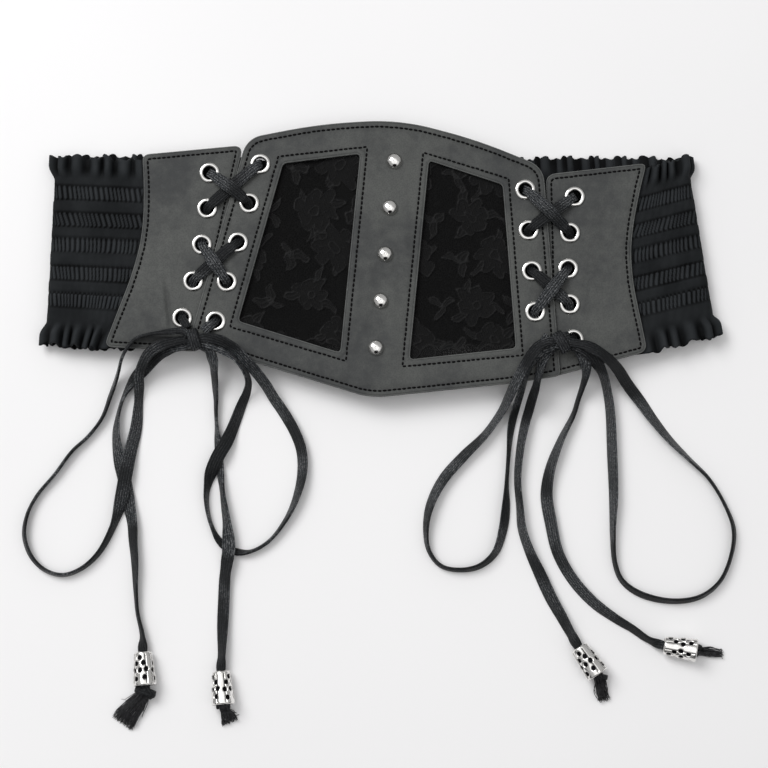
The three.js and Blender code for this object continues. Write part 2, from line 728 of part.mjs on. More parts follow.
// The route of a free lace. Its frames keep the width of the lace level all the way. Its steps
// are shorter near the knot, and with four turns also at the tip and the other end of a loop.
class LevelRoute extends THREE.CatmullRomCurve3 {
  constructor(points, turns) {
    super(points);
    this.turns = turns;
  }

  getUtoTmapping(share, distance) {
    const angle = Math.PI * this.turns;
    return super.getUtoTmapping(share - (bow_lace_gather * Math.sin(angle * share)) / angle, distance);
  }

  computeFrenetFrames(segments) {
    const shares = Array.from({ length: segments + 1 }, (_, index) => index / segments);
    const tangents = shares.map((share) => this.getTangentAt(share));
    const binormals = tangents.map((tangent) => new THREE.Vector3(-tangent.y, tangent.x, 0).normalize());
    const normals = tangents.map((tangent, index) => binormals[index].clone().cross(tangent));
    return { tangents, normals, binormals };
  }
}

function makeBowLace(name, route, turns) {
  const path = new LevelRoute(route.map((point) => new THREE.Vector3(...point)), turns);
  const stretch = 1 / Math.cos(Math.PI / bow_lace_sides);
  const points = Array.from({ length: bow_lace_sides }, (_, index) => {
    const angle = ((index + 0.5) / bow_lace_sides) * Math.PI * 2;
    const upward = 0.5 * bow_lace_wall * stretch * Math.cos(angle);
    return new THREE.Vector2(upward, 0.5 * bow_lace_width * stretch * Math.sin(angle));
  });
  const section = new THREE.Shape(points);
  const steps = Math.round(path.getLength() / bow_lace_step);
  const geometry = new THREE.ExtrudeGeometry(section, { steps, extrudePath: path, bevelEnabled: false });
  addPiece(name, geometry, "cord");
}

// The last stretch of a tail's route runs through its bead
function beadAxis(tail) {
  const entry = new THREE.Vector3(...tail[tail.length - 2]);
  const way = new THREE.Vector3(...tail[tail.length - 1]).sub(entry).normalize();
  return { entry, way };
}

function makeBead(name, tail) {
  const profile = [
    [bead_hole, 0],
    [bead_narrow - bead_rim, 0],
    [bead_narrow, 2 * bead_rim],
    [bead_wide, bead_length - 3 * bead_rim],
    [bead_wide - bead_rim, bead_length],
    [bead_hole, bead_length],
  ];
  const points = profile.map(([radius, along]) => new THREE.Vector2(radius, along));
  points.push(points[0].clone());
  const { entry, way } = beadAxis(tail);
  const mesh = addPiece(name, new THREE.LatheGeometry(points, bead_sides), "metal");
  mesh.position.copy(entry);
  mesh.quaternion.setFromUnitVectors(new THREE.Vector3(0, 1, 0), way);
}

function toSolid(geometry) {
  const bare = new THREE.BufferGeometry();
  bare.setAttribute("position", geometry.getAttribute("position"));
  bare.setIndex(geometry.getIndex());
  const merged = mergeVertices(bare, 1e-4);
  const vertProperties = Float32Array.from(merged.getAttribute("position").array);
  const triVerts = Uint32Array.from(merged.getIndex().array);
  return new wasm.Manifold(new wasm.Mesh({ numProp: 3, vertProperties, triVerts }));
}

function joined(geometries) {
  const [first, ...others] = geometries.map(toSolid);
  const mesh = others.reduce((whole, part) => whole.add(part), first).getMesh();
  const geometry = new THREE.BufferGeometry();
  geometry.setAttribute("position", new THREE.Float32BufferAttribute(mesh.vertProperties, 3));
  geometry.setIndex(Array.from(mesh.triVerts));
  return geometry;
}

// A tassel: the knot under the bead with locks fused to it, which fan out along the surface
function makeTassel(name, tail, row) {
  const { entry, way } = beadAxis(tail);
  const knot_radius = row.knot * bead_wide;
  const fan = row.fan * tassel_length;
  const height = tassel_knot_depth * knot_radius + layer_gap;
  const start = entry.clone().addScaledVector(way, bead_length + height);
  const heading = THREE.MathUtils.degToRad(row.heading);
  const out = new THREE.Vector3(Math.cos(heading), Math.sin(heading), 0);
  const across = new THREE.Vector3(-Math.sin(heading), Math.cos(heading), 0);
  const knot = new THREE.SphereGeometry(knot_radius, 6, 4).rotateX(Math.PI / 2);
  knot.scale(tassel_knot_depth, 1, tassel_knot_depth);
  knot.rotateZ(Math.atan2(way.y, way.x)).translate(start.x, start.y, height);
  const locks = Array.from({ length: row.locks }, (_, index) => {
    const share = row.locks > 1 ? (2 * index) / (row.locks - 1) - 1 : 0;
    const from = new THREE.Vector3(start.x, start.y, height);
    from.addScaledVector(across, 0.5 * share * knot_radius);
    const tip_length = row.length * tassel_length * (index % 2 === 0 ? 1 : short_lock);
    const tip = new THREE.Vector3(start.x, start.y, lock_tip).addScaledVector(out, tip_length);
    tip.addScaledVector(across, share * fan);
    const angle = heading + Math.PI / 2;
    const root_size = lock_root * knot_radius;
    const root = { point: from, angle, width: root_size, wall: root_size };
    const width = Math.max(lock_end_width, (lock_spread * fan) / row.locks);
    return makeRibbon([root, { point: tip, angle, width, wall: lock_end_wall }]);
  });
  addPiece(name, joined([knot, ...locks]), "cord");
}

// The hidden closure: one leather tab with its snap caps, on the inside of both band ends
function makeBackTab() {
  const corners = [
    [tab_left, band_bottom],
    [tab_left + tab_width, band_bottom],
    [tab_left + tab_width, band_top],
    [tab_left, band_top],
  ].map(([x, y]) => ({ at: new THREE.Vector2(x, y), round: tab_round }));
  const tab = plate(roundedOutline(corners, 2), [], tab_wall, tab_base);
  const pitch = (band_top - band_bottom) / number_of_snaps;
  const snaps = Array.from({ length: number_of_snaps }, (_, index) => {
    const cap = new THREE.CylinderGeometry(snap_top, snap_radius, 2 * snap_rise, snap_sides);
    const y = band_bottom + pitch * (index + 0.5);
    return cap.rotateX(Math.PI / 2).translate(tab_left + snap_inset, y, tab_base + tab_wall);
  });
  addPiece("back_tab", joined([tab, ...snaps]), "leather");
}

makeFrontPanel();
for (let index = 0; index < number_of_studs; index += 1) makeStud(`stud_${index + 1}`, index);
for (const [word, side] of [["left", -1], ["right", 1]]) {
  makeLacePanel(`lace_panel_${word}`, side);
  makeSidePanel(`side_panel_${word}`, side);
  makeBand(`elastic_${word}`, side, folds[word]);
  for (const column of ["front", "side"]) {
    for (let row = 0; row < rows_of_eyelets; row += 1) {
      makeEyelet(`eyelet_${column}_${word}_${row + 1}`, column, row, side);
    }
  }
  makeLacing(`lacing_${word}`, side, knots[word]);
  makeBowKnot(`bow_knot_${word}`, knots[word]);
}
makeBackTab();
bow_loops.forEach((route, index) => makeBowLace(`bow_loop_${index + 1}`, route, 4));
bow_tails.forEach((route, index) => {
  makeBowLace(`bow_tail_${index + 1}`, route, 1);
  makeBead(`cord_end_${index + 1}`, route);
  makeTassel(`tassel_${index + 1}`, route, tassels[index]);
});

export default group;
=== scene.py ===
# Looks of the corset belt as it lies on a pale surface. Shapes are worked out in millimetres in
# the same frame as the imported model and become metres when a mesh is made.
import math

import bpy
import numpy as np
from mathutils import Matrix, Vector
from mathutils.geometry import delaunay_2d_cdt


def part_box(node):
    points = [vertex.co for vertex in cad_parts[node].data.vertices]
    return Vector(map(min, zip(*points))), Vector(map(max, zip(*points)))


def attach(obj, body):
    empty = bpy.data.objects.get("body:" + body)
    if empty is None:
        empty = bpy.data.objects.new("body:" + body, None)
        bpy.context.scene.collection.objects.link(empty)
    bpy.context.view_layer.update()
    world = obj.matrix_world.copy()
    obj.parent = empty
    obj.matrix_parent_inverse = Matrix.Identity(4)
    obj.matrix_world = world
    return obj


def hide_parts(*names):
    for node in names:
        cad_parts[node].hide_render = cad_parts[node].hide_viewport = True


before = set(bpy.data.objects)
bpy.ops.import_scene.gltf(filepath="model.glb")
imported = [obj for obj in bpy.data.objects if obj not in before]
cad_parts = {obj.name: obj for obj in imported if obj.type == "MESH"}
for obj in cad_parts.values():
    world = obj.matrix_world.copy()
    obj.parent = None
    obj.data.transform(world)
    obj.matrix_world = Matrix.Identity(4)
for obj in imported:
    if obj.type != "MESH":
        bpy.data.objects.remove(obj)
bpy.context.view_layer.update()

MM = 0.001
SIDES = ("left", "right")
SIGN = {"left": -1, "right": 1}
dice = np.random.default_rng(11)

# Sizes shared with the part's source, in millimetres
LEATHER_WALL = 1.6
PANEL_BASE = 12.7
SIDE_BASE = 10.8
PANEL_HALF_WIDTH = 93
PANEL_HALF_HEIGHT = 71
BAR_HALF_WIDTH = 17.4
WINDOW_TOP_MARGIN = 16.6
WINDOW_SIDE_MARGIN = 21.4
WINDOW_BOTTOM_MARGIN = 17.6
SIDE_INNER = 76.6
SIDE_WIDTH = 58.7
SIDE_TOP = 51
SIDE_DROP = 53.2
SLIDE_FROM = 78.4
SLIDE_SLOPE = 0.2126
TURN = math.radians(-5.6)
SHIFT = (1.75, -0.28)
BAND_TOP = 52.5
BAND_BOTTOM = -43
BAND_REACH = 33.3
BEAD_LENGTH = 16.5
BEAD_NARROW = 4.5
BEAD_WIDE = 5.9
BEAD_HOLE = 3.3
LACE_WIDTH = 6.8
LACE_WALL = 1.3

# Routes of the free laces, each point [x, y, z]
BOW_LOOPS = [
    [
        [-98.2, -37.5, 20.8], [-104, -37.5, 20], [-111, -38, 17.6], [-117.5, -39, 15.4],
        [-122, -40.5, 14.7], [-125.5, -44, 15.6], [-129, -49.5, 13.8], [-132, -57.5, 6.4],
        [-136, -68, 1.8], [-140, -79, 1.3], [-147, -88.5, 1.3], [-155, -96, 1.3], [-163.5, -107.5, 1.3],
        [-172.5, -118.5, 1.3], [-177, -127.5, 1.3], [-178.5, -138, 1.3], [-175, -148.5, 1.3],
        [-168, -155.5, 1.3], [-159, -158, 1.3], [-150, -155, 1.3], [-141.5, -147.5, 1.3],
        [-135, -136, 1.6], [-131, -124.5, 3.4], [-128.5, -111.5, 4.4], [-126, -97.5, 3.6],
        [-123, -84, 1.9], [-122, -73, 1.8], [-121.5, -65, 4.4], [-121, -58, 9], [-118.5, -52, 13.6],
        [-115, -47.5, 16.2], [-109, -44, 17.8], [-103.5, -42.5, 18.4], [-98.3, -41.5, 18.5],
    ],
    [
        [-88.2, -40.5, 20.8], [-82, -41.5, 20.8], [-73.5, -45.5, 19.4], [-67.5, -51.5, 17.2],
        [-62.5, -57, 14.6], [-57.5, -63.5, 8.8], [-53.5, -70, 3.6], [-49, -76.5, 1.3],
        [-43.5, -86, 1.3], [-40, -95.5, 1.3], [-39.5, -106.5, 1.3], [-42.5, -119.5, 1.3],
        [-48, -131, 1.3], [-56.5, -141.5, 1.3], [-66, -146.5, 1.3], [-74, -146, 1.3],
        [-80.5, -141.5, 1.3], [-85.5, -131.5, 1.3], [-87.5, -119.5, 1.5], [-86, -109.5, 2.8],
        [-82, -99.5, 5.2], [-77, -90.5, 4.4], [-73, -80.5, 1.3], [-70, -72.5, 1.4],
        [-67.5, -66.5, 4.2], [-66.5, -61.5, 8.4], [-68, -56.5, 13.2], [-71.5, -51.5, 16.4],
        [-77, -47.5, 17.9], [-83, -44.5, 18.4], [-88.2, -43, 18.5],
    ],
    [
        [83.6, -42.5, 21.8], [79, -44.5, 21.8], [75, -48.5, 21.4], [71.8, -53.5, 20.4],
        [69, -58.5, 18.8], [66.3, -64, 17.4], [63.6, -70, 10.2], [60, -77, 2.4], [52.5, -87.5, 1.3],
        [41.5, -98.5, 1.3], [31, -110.5, 1.3], [24.5, -123.5, 1.3], [22.5, -135.5, 1.3],
        [24, -146, 1.3], [30, -153.5, 1.3], [40, -155.5, 1.3], [49.5, -153.5, 1.3], [57, -147, 1.3],
        [61, -135.5, 1.3], [62.5, -124.5, 1.3], [63, -112.5, 1.3], [64, -98.5, 1.3], [65, -86.5, 1.4],
        [66.3, -79.5, 3.4], [68, -73, 8.2], [69.8, -67, 13.2], [71.4, -61.5, 16.2], [73.3, -56, 17.3],
        [76.3, -50.5, 18.7], [79.8, -47, 19.2], [83.6, -45.5, 19.3],
    ],
    [
        [96.6, -45, 19.3], [100.8, -46.8, 19.3], [104.8, -50, 18.6], [108, -54, 15.8],
        [111, -58.5, 11], [113.5, -65.5, 4.8], [115, -74, 2.2], [116, -96.5, 1.4], [116.5, -118, 1.3],
        [116, -139.5, 1.3], [117, -152.5, 1.3], [120.5, -161, 1.3], [129.5, -167.5, 1.3],
        [145, -171, 1.3], [159, -169, 1.3], [169, -161.5, 1.3], [175, -148.5, 1.3],
        [176.5, -135.5, 1.3], [172.5, -123.5, 1.3], [164.5, -110, 1.3], [154.5, -100, 1.3],
        [145, -90.5, 1.3], [137, -80.5, 1.3], [130, -70.5, 2], [124, -63, 4.8], [118.5, -56, 11.4],
        [113.5, -51.5, 17.6], [107.8, -47.5, 21], [102.2, -45, 21.7], [96.6, -43.5, 21.7],
    ],
]
BOW_TAILS = [
    [
        [-98.3, -44.5, 16.1], [-103, -45, 15.9], [-109, -47, 14.6], [-114, -50.5, 10.8],
        [-118.5, -54.5, 6], [-123, -58.5, 2.4], [-127, -64, 1.3], [-130, -70, 1.3], [-132.5, -80, 1.3],
        [-133, -88.5, 1.3], [-131.5, -99.5, 1.3], [-128.5, -111.5, 1.3], [-126, -124.5, 1.3],
        [-124.5, -132.5, 1.3], [-124, -140.5, 1.3], [-123, -151.5, 1.3], [-122.5, -164.5, 1.3],
        [-121.5, -176.5, 1.6], [-119, -187.5, 3], [-118.4, -196.2, 4.5], [-117, -212.6, 6.1],
    ],
    [
        [-88.2, -44.8, 16.1], [-85.8, -46.2, 16.1], [-84.3, -49.5, 15.2], [-83.7, -54, 12],
        [-83.5, -59, 7.4], [-83.4, -64.5, 3], [-83, -70, 1.3], [-83, -76, 1.3], [-82.5, -85.5, 1.3],
        [-81.5, -96.5, 1.3], [-80.5, -107.5, 1.3], [-79, -120, 1.6], [-77, -133, 3.5], [-76, -145, 4.6],
        [-77, -152, 4.2], [-78, -159.5, 2.2], [-78.5, -171.5, 1.3], [-79, -184.5, 1.4],
        [-79.2, -195.5, 2.8], [-79.5, -205.6, 4.5], [-78.1, -222, 6.1],
    ],
    [
        [83.6, -48, 16.9], [81, -51, 17.2], [79.3, -55.5, 16.9], [78, -60.5, 17.6], [77, -65.5, 14],
        [75.6, -70.5, 8.2], [74.2, -76, 2.4], [72.2, -83, 1.3], [70, -94, 1.3], [68.5, -110.5, 1.3],
        [69.5, -123.5, 1.3], [70.5, -134.5, 1.3], [74, -145.5, 1.3], [79, -156.5, 1.3], [85, -169.5, 1.3],
        [90.5, -179.5, 1.8], [94.5, -187, 3.2], [98.3, -193.8, 4.5], [107.6, -207.4, 6.1],
    ],
    [
        [97, -46, 16.9], [99, -48, 16.8], [101, -51, 16], [102, -54.8, 15.6], [102, -59, 12],
        [101, -64, 6], [99.2, -70, 1.6], [97, -77, 1.3], [90.5, -90, 1.3], [85, -104.5, 1.3],
        [83, -118, 1.3], [85, -131.5, 1.3], [88.5, -147, 1.3], [96, -160.5, 1.3], [106.5, -172, 1.3],
        [117.5, -180, 1.4], [125, -184.5, 2], [133, -190, 3.4], [140.6, -192.9, 4.5],
        [156.9, -195.4, 6.1],
    ],
]

KNOTS = {
    "left": {
        "middle": (-93.2, -41.6, 18.3), "half": (4.2, 5.6, 3.4),
        "from_side": (-96.3, -35.5, 16.9), "from_front": (-88.4, -37.2, 17),
    },
    "right": {
        "middle": (90, -42.6, 19.2), "half": (5, 5.8, 3.4),
        "from_side": (91.8, -42, 15), "from_front": (83.4, -39.2, 17.4),
    },
}

# How wide each lace looks from above at each point of its route, in millimetres
LOOP_WIDTHS = [
    [
        4, 2.5, 3, 3, 3, 2.5, 2.5, 3, 3.5, 3, 1.8, 3, 2.5, 2, 3, 3.5, 3.5, 3, 2.5, 2.5, 3, 3.5, 4.5, 5.5,
        6.6, 6.5, 4.5, 3.5, 2.5, 2.5, 3.5, 4, 4, 4,
    ],
    [
        4, 5, 6, 6, 6, 6, 6, 6.2, 6, 6, 6, 4.5, 3, 2, 2.3, 2, 1.8, 2, 3, 4.5, 6, 6.2, 6, 5.5, 4.5, 3.5,
        3.5, 4, 4, 4, 4,
    ],
    [
        4, 5, 5.5, 6, 6, 5.5, 5.5, 4.5, 4.5, 6, 6, 5, 3.5, 2.5, 2.5, 3, 3.5, 4.5, 5.5, 5.8, 2.5, 2.5, 4.5,
        5, 4.5, 4, 3.5, 3.5, 4, 4, 4,
    ],
    [
        4, 4.5, 5, 5, 4.5, 4.5, 5, 5.5, 5, 3, 2.5, 3, 4, 3.5, 3.5, 3, 3, 3.8, 2.5, 2.5, 3.5, 5, 6, 6.7,
        6.8, 6.8, 6.5, 6, 4.5, 4,
    ],
]
TAIL_WIDTHS = [
    [5, 5.5, 6, 6, 5, 4.5, 3, 2, 3.5, 5.5, 6, 4.5, 5.5, 6.5, 5.5, 5, 3.5, 2.5, 3.5, 5, 5],
    [4.5, 4.5, 4.5, 5, 5, 4, 3.5, 2.5, 2, 1.8, 2, 4, 5.5, 5.5, 6, 6.5, 6.5, 6.5, 5, 4, 4],
    [3.5, 3.5, 3.5, 3.5, 4.5, 5, 5, 5, 4.5, 4, 4, 5, 5, 6.5, 6.5, 6, 5, 4.5, 4.5],
    [4, 4.5, 4.5, 4, 3.5, 3.5, 2.5, 3, 4, 5.5, 6.5, 6.5, 6, 6, 6, 5, 4.5, 4, 3.5, 3.5],
]


# Shape helpers


def ease(value):
    share = np.clip(value, 0, 1)
    return share * share * (3 - 2 * share)


def unit(vectors):
    return vectors / np.maximum(np.linalg.norm(vectors, axis=-1, keepdims=True), 1e-9)


def smooth_route(points, step):
    """The smooth line through the points, cut into equal steps."""
    points = np.array(points, float)
    padded = np.vstack([2 * points[0] - points[1], points, 2 * points[-1] - points[-2]])
    line = []
    for index in range(1, len(padded) - 2):
        p0, p1, p2, p3 = padded[index - 1 : index + 3]
        d0, d1, d2 = (np.linalg.norm(b - a) ** 0.5 for a, b in ((p0, p1), (p1, p2), (p2, p3)))
        start = ((p1 - p0) / d0 - (p2 - p0) / (d0 + d1) + (p2 - p1) / d1) * d1
        end = ((p2 - p1) / d1 - (p3 - p1) / (d1 + d2) + (p3 - p2) / d2) * d1
        t = np.linspace(0, 1, 16, endpoint=False)[:, None]
        cubic = 2 * p1 - 2 * p2 + start + end
        square = -3 * p1 + 3 * p2 - 2 * start - end
        line.append(p1 + start * t + square * t**2 + cubic * t**3)
    line.append(points[-1:])
    return resample(np.vstack(line), step)


def lengths_along(points):
    return np.concatenate([[0], np.cumsum(np.linalg.norm(np.diff(points, axis=0), axis=1))])


def resample(points, step):
    along = lengths_along(points)
    count = max(2, int(round(along[-1] / step)) + 1)
    wanted = np.linspace(0, along[-1], count)
    return np.column_stack([np.interp(wanted, along, points[:, axis]) for axis in range(points.shape[1])])


def make_mesh(name, points, faces, material, attributes=None, flat=False):
    mesh = bpy.data.meshes.new(name)
    scaled = np.asarray(points, float) * MM
    mesh.from_pydata(scaled.tolist(), [], [list(map(int, face)) for face in faces])
    mesh.validate()
    for key, values in (attributes or {}).items():
        values = np.asarray(values, float)
        if values.ndim == 2:
            layer = mesh.attributes.new(key, "FLOAT_VECTOR", "POINT")
            layer.data.foreach_set("vector", values.ravel())
        else:
            layer = mesh.attributes.new(key, "FLOAT", "POINT")
            layer.data.foreach_set("value", values)
    mesh.polygons.foreach_set("use_smooth", [not flat] * len(mesh.polygons))
    mesh.materials.append(material)
    mesh.update()
    thing = bpy.data.objects.new(name, mesh)
    bpy.context.scene.collection.objects.link(thing)
    return thing


def add_piece(name, points, faces, material, nodes=(), attributes=None):
    thing = make_mesh(name, points, faces, material, attributes)
    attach(thing, "root")
    if nodes:
        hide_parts(*nodes)
    return thing


def tube_faces(rings, sides, start=0, caps=True):
    faces = []
    for ring in range(rings - 1):
        for side in range(sides):
            a = start + ring * sides + side
            b = start + ring * sides + (side + 1) % sides
            faces.append((a, b, b + sides, a + sides))
    if caps:
        faces.append(tuple(start + side for side in reversed(range(sides))))
        last = start + (rings - 1) * sides
        faces.append(tuple(last + side for side in range(sides)))
    return faces


def joined(parts):
    """One mesh's points, faces and attribute lists from several (points, faces, attributes)."""
    points, faces, attributes, start = [], [], {}, 0
    for part_points, part_faces, part_attributes in parts:
        points.append(part_points)
        faces.extend(tuple(index + start for index in face) for face in part_faces)
        for key, values in part_attributes.items():
            attributes.setdefault(key, []).append(values)
        start += len(part_points)
    return np.vstack(points), faces, {key: np.concatenate(values) for key, values in attributes.items()}


def ribbon_section(sides):
    angle = (np.arange(sides) + 0.5) / sides * 2 * math.pi
    across = np.sign(np.cos(angle)) * np.abs(np.cos(angle)) ** 0.62
    upward = np.sign(np.sin(angle)) * np.abs(np.sin(angle)) ** 0.62
    return across * 0.5, upward * 0.5


def sweep(points, levels, widths, walls, rolls, sides=16, floor=None, seed=0):
    """A flat woven lace along points. levels are the level directions of its width."""
    along = unit(np.gradient(points, axis=0))
    upward = unit(np.cross(along, levels))
    across = unit(np.cross(upward, along))
    turn = np.radians(rolls)[:, None]
    wide = across * np.cos(turn) + upward * np.sin(turn)
    high = upward * np.cos(turn) - across * np.sin(turn)
    section_across, section_up = ribbon_section(sides)
    offsets = (
        wide[:, None, :] * (section_across[None, :] * widths[:, None])[:, :, None]
        + high[:, None, :] * (section_up[None, :] * walls[:, None])[:, :, None]
    )
    middle = points.copy()
    if floor is not None:
        lowest = offsets[:, :, 2].min(axis=1)
        middle[:, 2] = np.maximum(middle[:, 2], floor - lowest)
        kernel = np.ones(7) / 7
        lifted = np.convolve(np.pad(middle[:, 2], 3, mode="edge"), kernel, mode="valid")
        middle[:, 2] = np.maximum(lifted, floor - lowest)
    rings = middle[:, None, :] + offsets
    distance = lengths_along(points)
    weave = np.empty(rings.shape)
    weave[:, :, 0] = distance[:, None]
    weave[:, :, 1] = section_across[None, :] * widths[:, None]
    weave[:, :, 2] = seed
    faces = tube_faces(len(points), sides)
    return rings.reshape(-1, 3), faces, {"weave": weave.reshape(-1, 3)}, middle


def level_of(points):
    along = np.gradient(points, axis=0)
    return unit(np.column_stack([-along[:, 1], along[:, 0], np.zeros(len(points))]))


def lathe(profile, sides):
    """Rings round Z from (radius, height) points, closed back to the first."""
    profile = np.array(profile, float)
    angle = np.arange(sides) / sides * 2 * math.pi
    rings = np.empty((len(profile), sides, 3))
    rings[:, :, 0] = profile[:, :1] * np.cos(angle)
    rings[:, :, 1] = profile[:, :1] * np.sin(angle)
    rings[:, :, 2] = profile[:, 1:2]
    return rings


def closed_faces(rings, sides):
    faces = []
    for ring in range(rings):
        following = (ring + 1) % rings
        for side in range(sides):
            beside = (side + 1) % sides
            faces.append((ring * sides + side, ring * sides + beside, following * sides + beside, following * sides + side))
    return faces


def turned(x, y):
    c, s = math.cos(TURN), math.sin(TURN)
    return np.array([x * c - y * s + SHIFT[0], x * s + y * c + SHIFT[1]])


def slid(across, up, sign):
    return turned(across * sign, up + max(0, across - SLIDE_FROM) * SLIDE_SLOPE * sign)


def rounded_outline(corners, divisions=12):
    places = [np.array(corner[:2], float) for corner in corners]
    points = []
    for index, at in enumerate(places):
        before = places[index - 1]
        after = places[(index + 1) % len(places)]
        reach_in = min(corners[index][2], 0.45 * np.linalg.norm(before - at))
        reach_out = min(corners[index][2], 0.45 * np.linalg.norm(after - at))
        start = at + unit(before - at) * reach_in
        end = at + unit(after - at) * reach_out
        t = np.linspace(0, 1, divisions + 1)[:, None]
        points.append((1 - t) ** 2 * start + 2 * t * (1 - t) * at + t**2 * end)
    line = np.vstack(points)
    x, y = line[:, 0], line[:, 1]
    if np.sum(x * np.roll(y, -1) - np.roll(x, -1) * y) < 0:
        line = line[::-1]
    return line


def closed_resample(line, step):
    return resample(np.vstack([line, line[:1]]), step)[:-1]


def distance_to(points, line):
    """Distance of each point in plan from a closed line."""
    start, end = line, np.roll(line, -1, axis=0)
    way = end - start
    size = np.maximum(np.sum(way * way, axis=1), 1e-12)
    best = np.full(len(points), 1e9)
    for first in range(0, len(points), 2000):
        part = points[first : first + 2000, None, :] - start[None]
        share = np.clip(np.sum(part * way[None], axis=2) / size, 0, 1)
        gap = part - share[:, :, None] * way[None]
        best[first : first + 2000] = np.sqrt(np.sum(gap * gap, axis=2)).min(axis=1)
    return best


def inside(points, line):
    x, y = points[:, 0], points[:, 1]
    result = np.zeros(len(points), bool)
    for (x1, y1), (x2, y2) in zip(line, np.roll(line, -1, axis=0)):
        crosses = (y1 > y) != (y2 > y)
        if y1 != y2:
            result ^= crosses & (x < (x2 - x1) * (y - y1) / (y2 - y1) + x1)
    return result


def offset_line(line, distance):
    """The line moved to its left by a distance, without the points that fold over at corners."""
    way = unit(np.roll(line, -1, axis=0) - np.roll(line, 1, axis=0))
    moved = line + np.column_stack([-way[:, 1], way[:, 0]]) * distance
    return moved[distance_to(moved, line) > abs(distance) - 0.08]


# Material helpers


class Material:
    """A material's node tree with short calls for its nodes."""

    def __init__(self, name, **sockets):
        self.data = bpy.data.materials.new(name)
        self.data.use_nodes = True
        self.tree = self.data.node_tree
        self.shader = self.tree.nodes["Principled BSDF"]
        for key, value in sockets.items():
            self.shader.inputs[key.replace("_", " ")].default_value = value

    def node(self, kind, **settings):
        made = self.tree.nodes.new(kind)
        for key, value in settings.items():
            setattr(made, key, value)
        return made

    def put(self, socket, value):
        if hasattr(value, "is_output"):
            self.tree.links.new(value, socket)
        else:
            socket.default_value = value

    def math(self, operation, *values, clamp=False):
        made = self.node("ShaderNodeMath", operation=operation, use_clamp=clamp)
        for socket, value in zip(made.inputs, values):
            self.put(socket, value)
        return made.outputs[0]

    def ramp(self, value, low, high, to_low=0.0, to_high=1.0):
        made = self.node("ShaderNodeMapRange", interpolation_type="SMOOTHSTEP")
        for socket, number in zip(made.inputs, (value, low, high, to_low, to_high)):
            self.put(socket, number)
        return made.outputs[0]

    def mix(self, share, first, second):
        made = self.node("ShaderNodeMix", data_type="RGBA")
        self.put(made.inputs[0], share)
        self.put(made.inputs[6], first)
        self.put(made.inputs[7], second)
        return made.outputs[2]

    def place(self):
        return self.node("ShaderNodeTexCoord").outputs["Object"]

    def attribute(self, name, output="Fac"):
        return self.node("ShaderNodeAttribute", attribute_name=name).outputs[output]

    def apart(self, vector):
        made = self.node("ShaderNodeSeparateXYZ")
        self.put(made.inputs[0], vector)
        return made.outputs

    def noise(self, vector, scale, detail=2.0, roughness=0.5):
        made = self.node("ShaderNodeTexNoise")
        self.put(made.inputs["Vector"], vector)
        made.inputs["Scale"].default_value = scale
        made.inputs["Detail"].default_value = detail
        made.inputs["Roughness"].default_value = roughness
        return made.outputs[0]

    def cells(self, vector, scale, feature="F1", output="Distance"):
        made = self.node("ShaderNodeTexVoronoi", feature=feature)
        self.put(made.inputs["Vector"], vector)
        made.inputs["Scale"].default_value = scale
        return made.outputs[output]

    def bump(self, height, distance, strength=1.0, below=None):
        made = self.node("ShaderNodeBump")
        made.inputs["Strength"].default_value = strength
        made.inputs["Distance"].default_value = distance
        self.put(made.inputs["Height"], height)
        if below is not None:
            self.put(made.inputs["Normal"], below)
        return made.outputs[0]

    def finish(self, colour=None, roughness=None, normal=None, alpha=None):
        for name, value in (("Base Color", colour), ("Roughness", roughness), ("Normal", normal), ("Alpha", alpha)):
            if value is not None:
                self.put(self.shader.inputs[name], value)
        return self.data


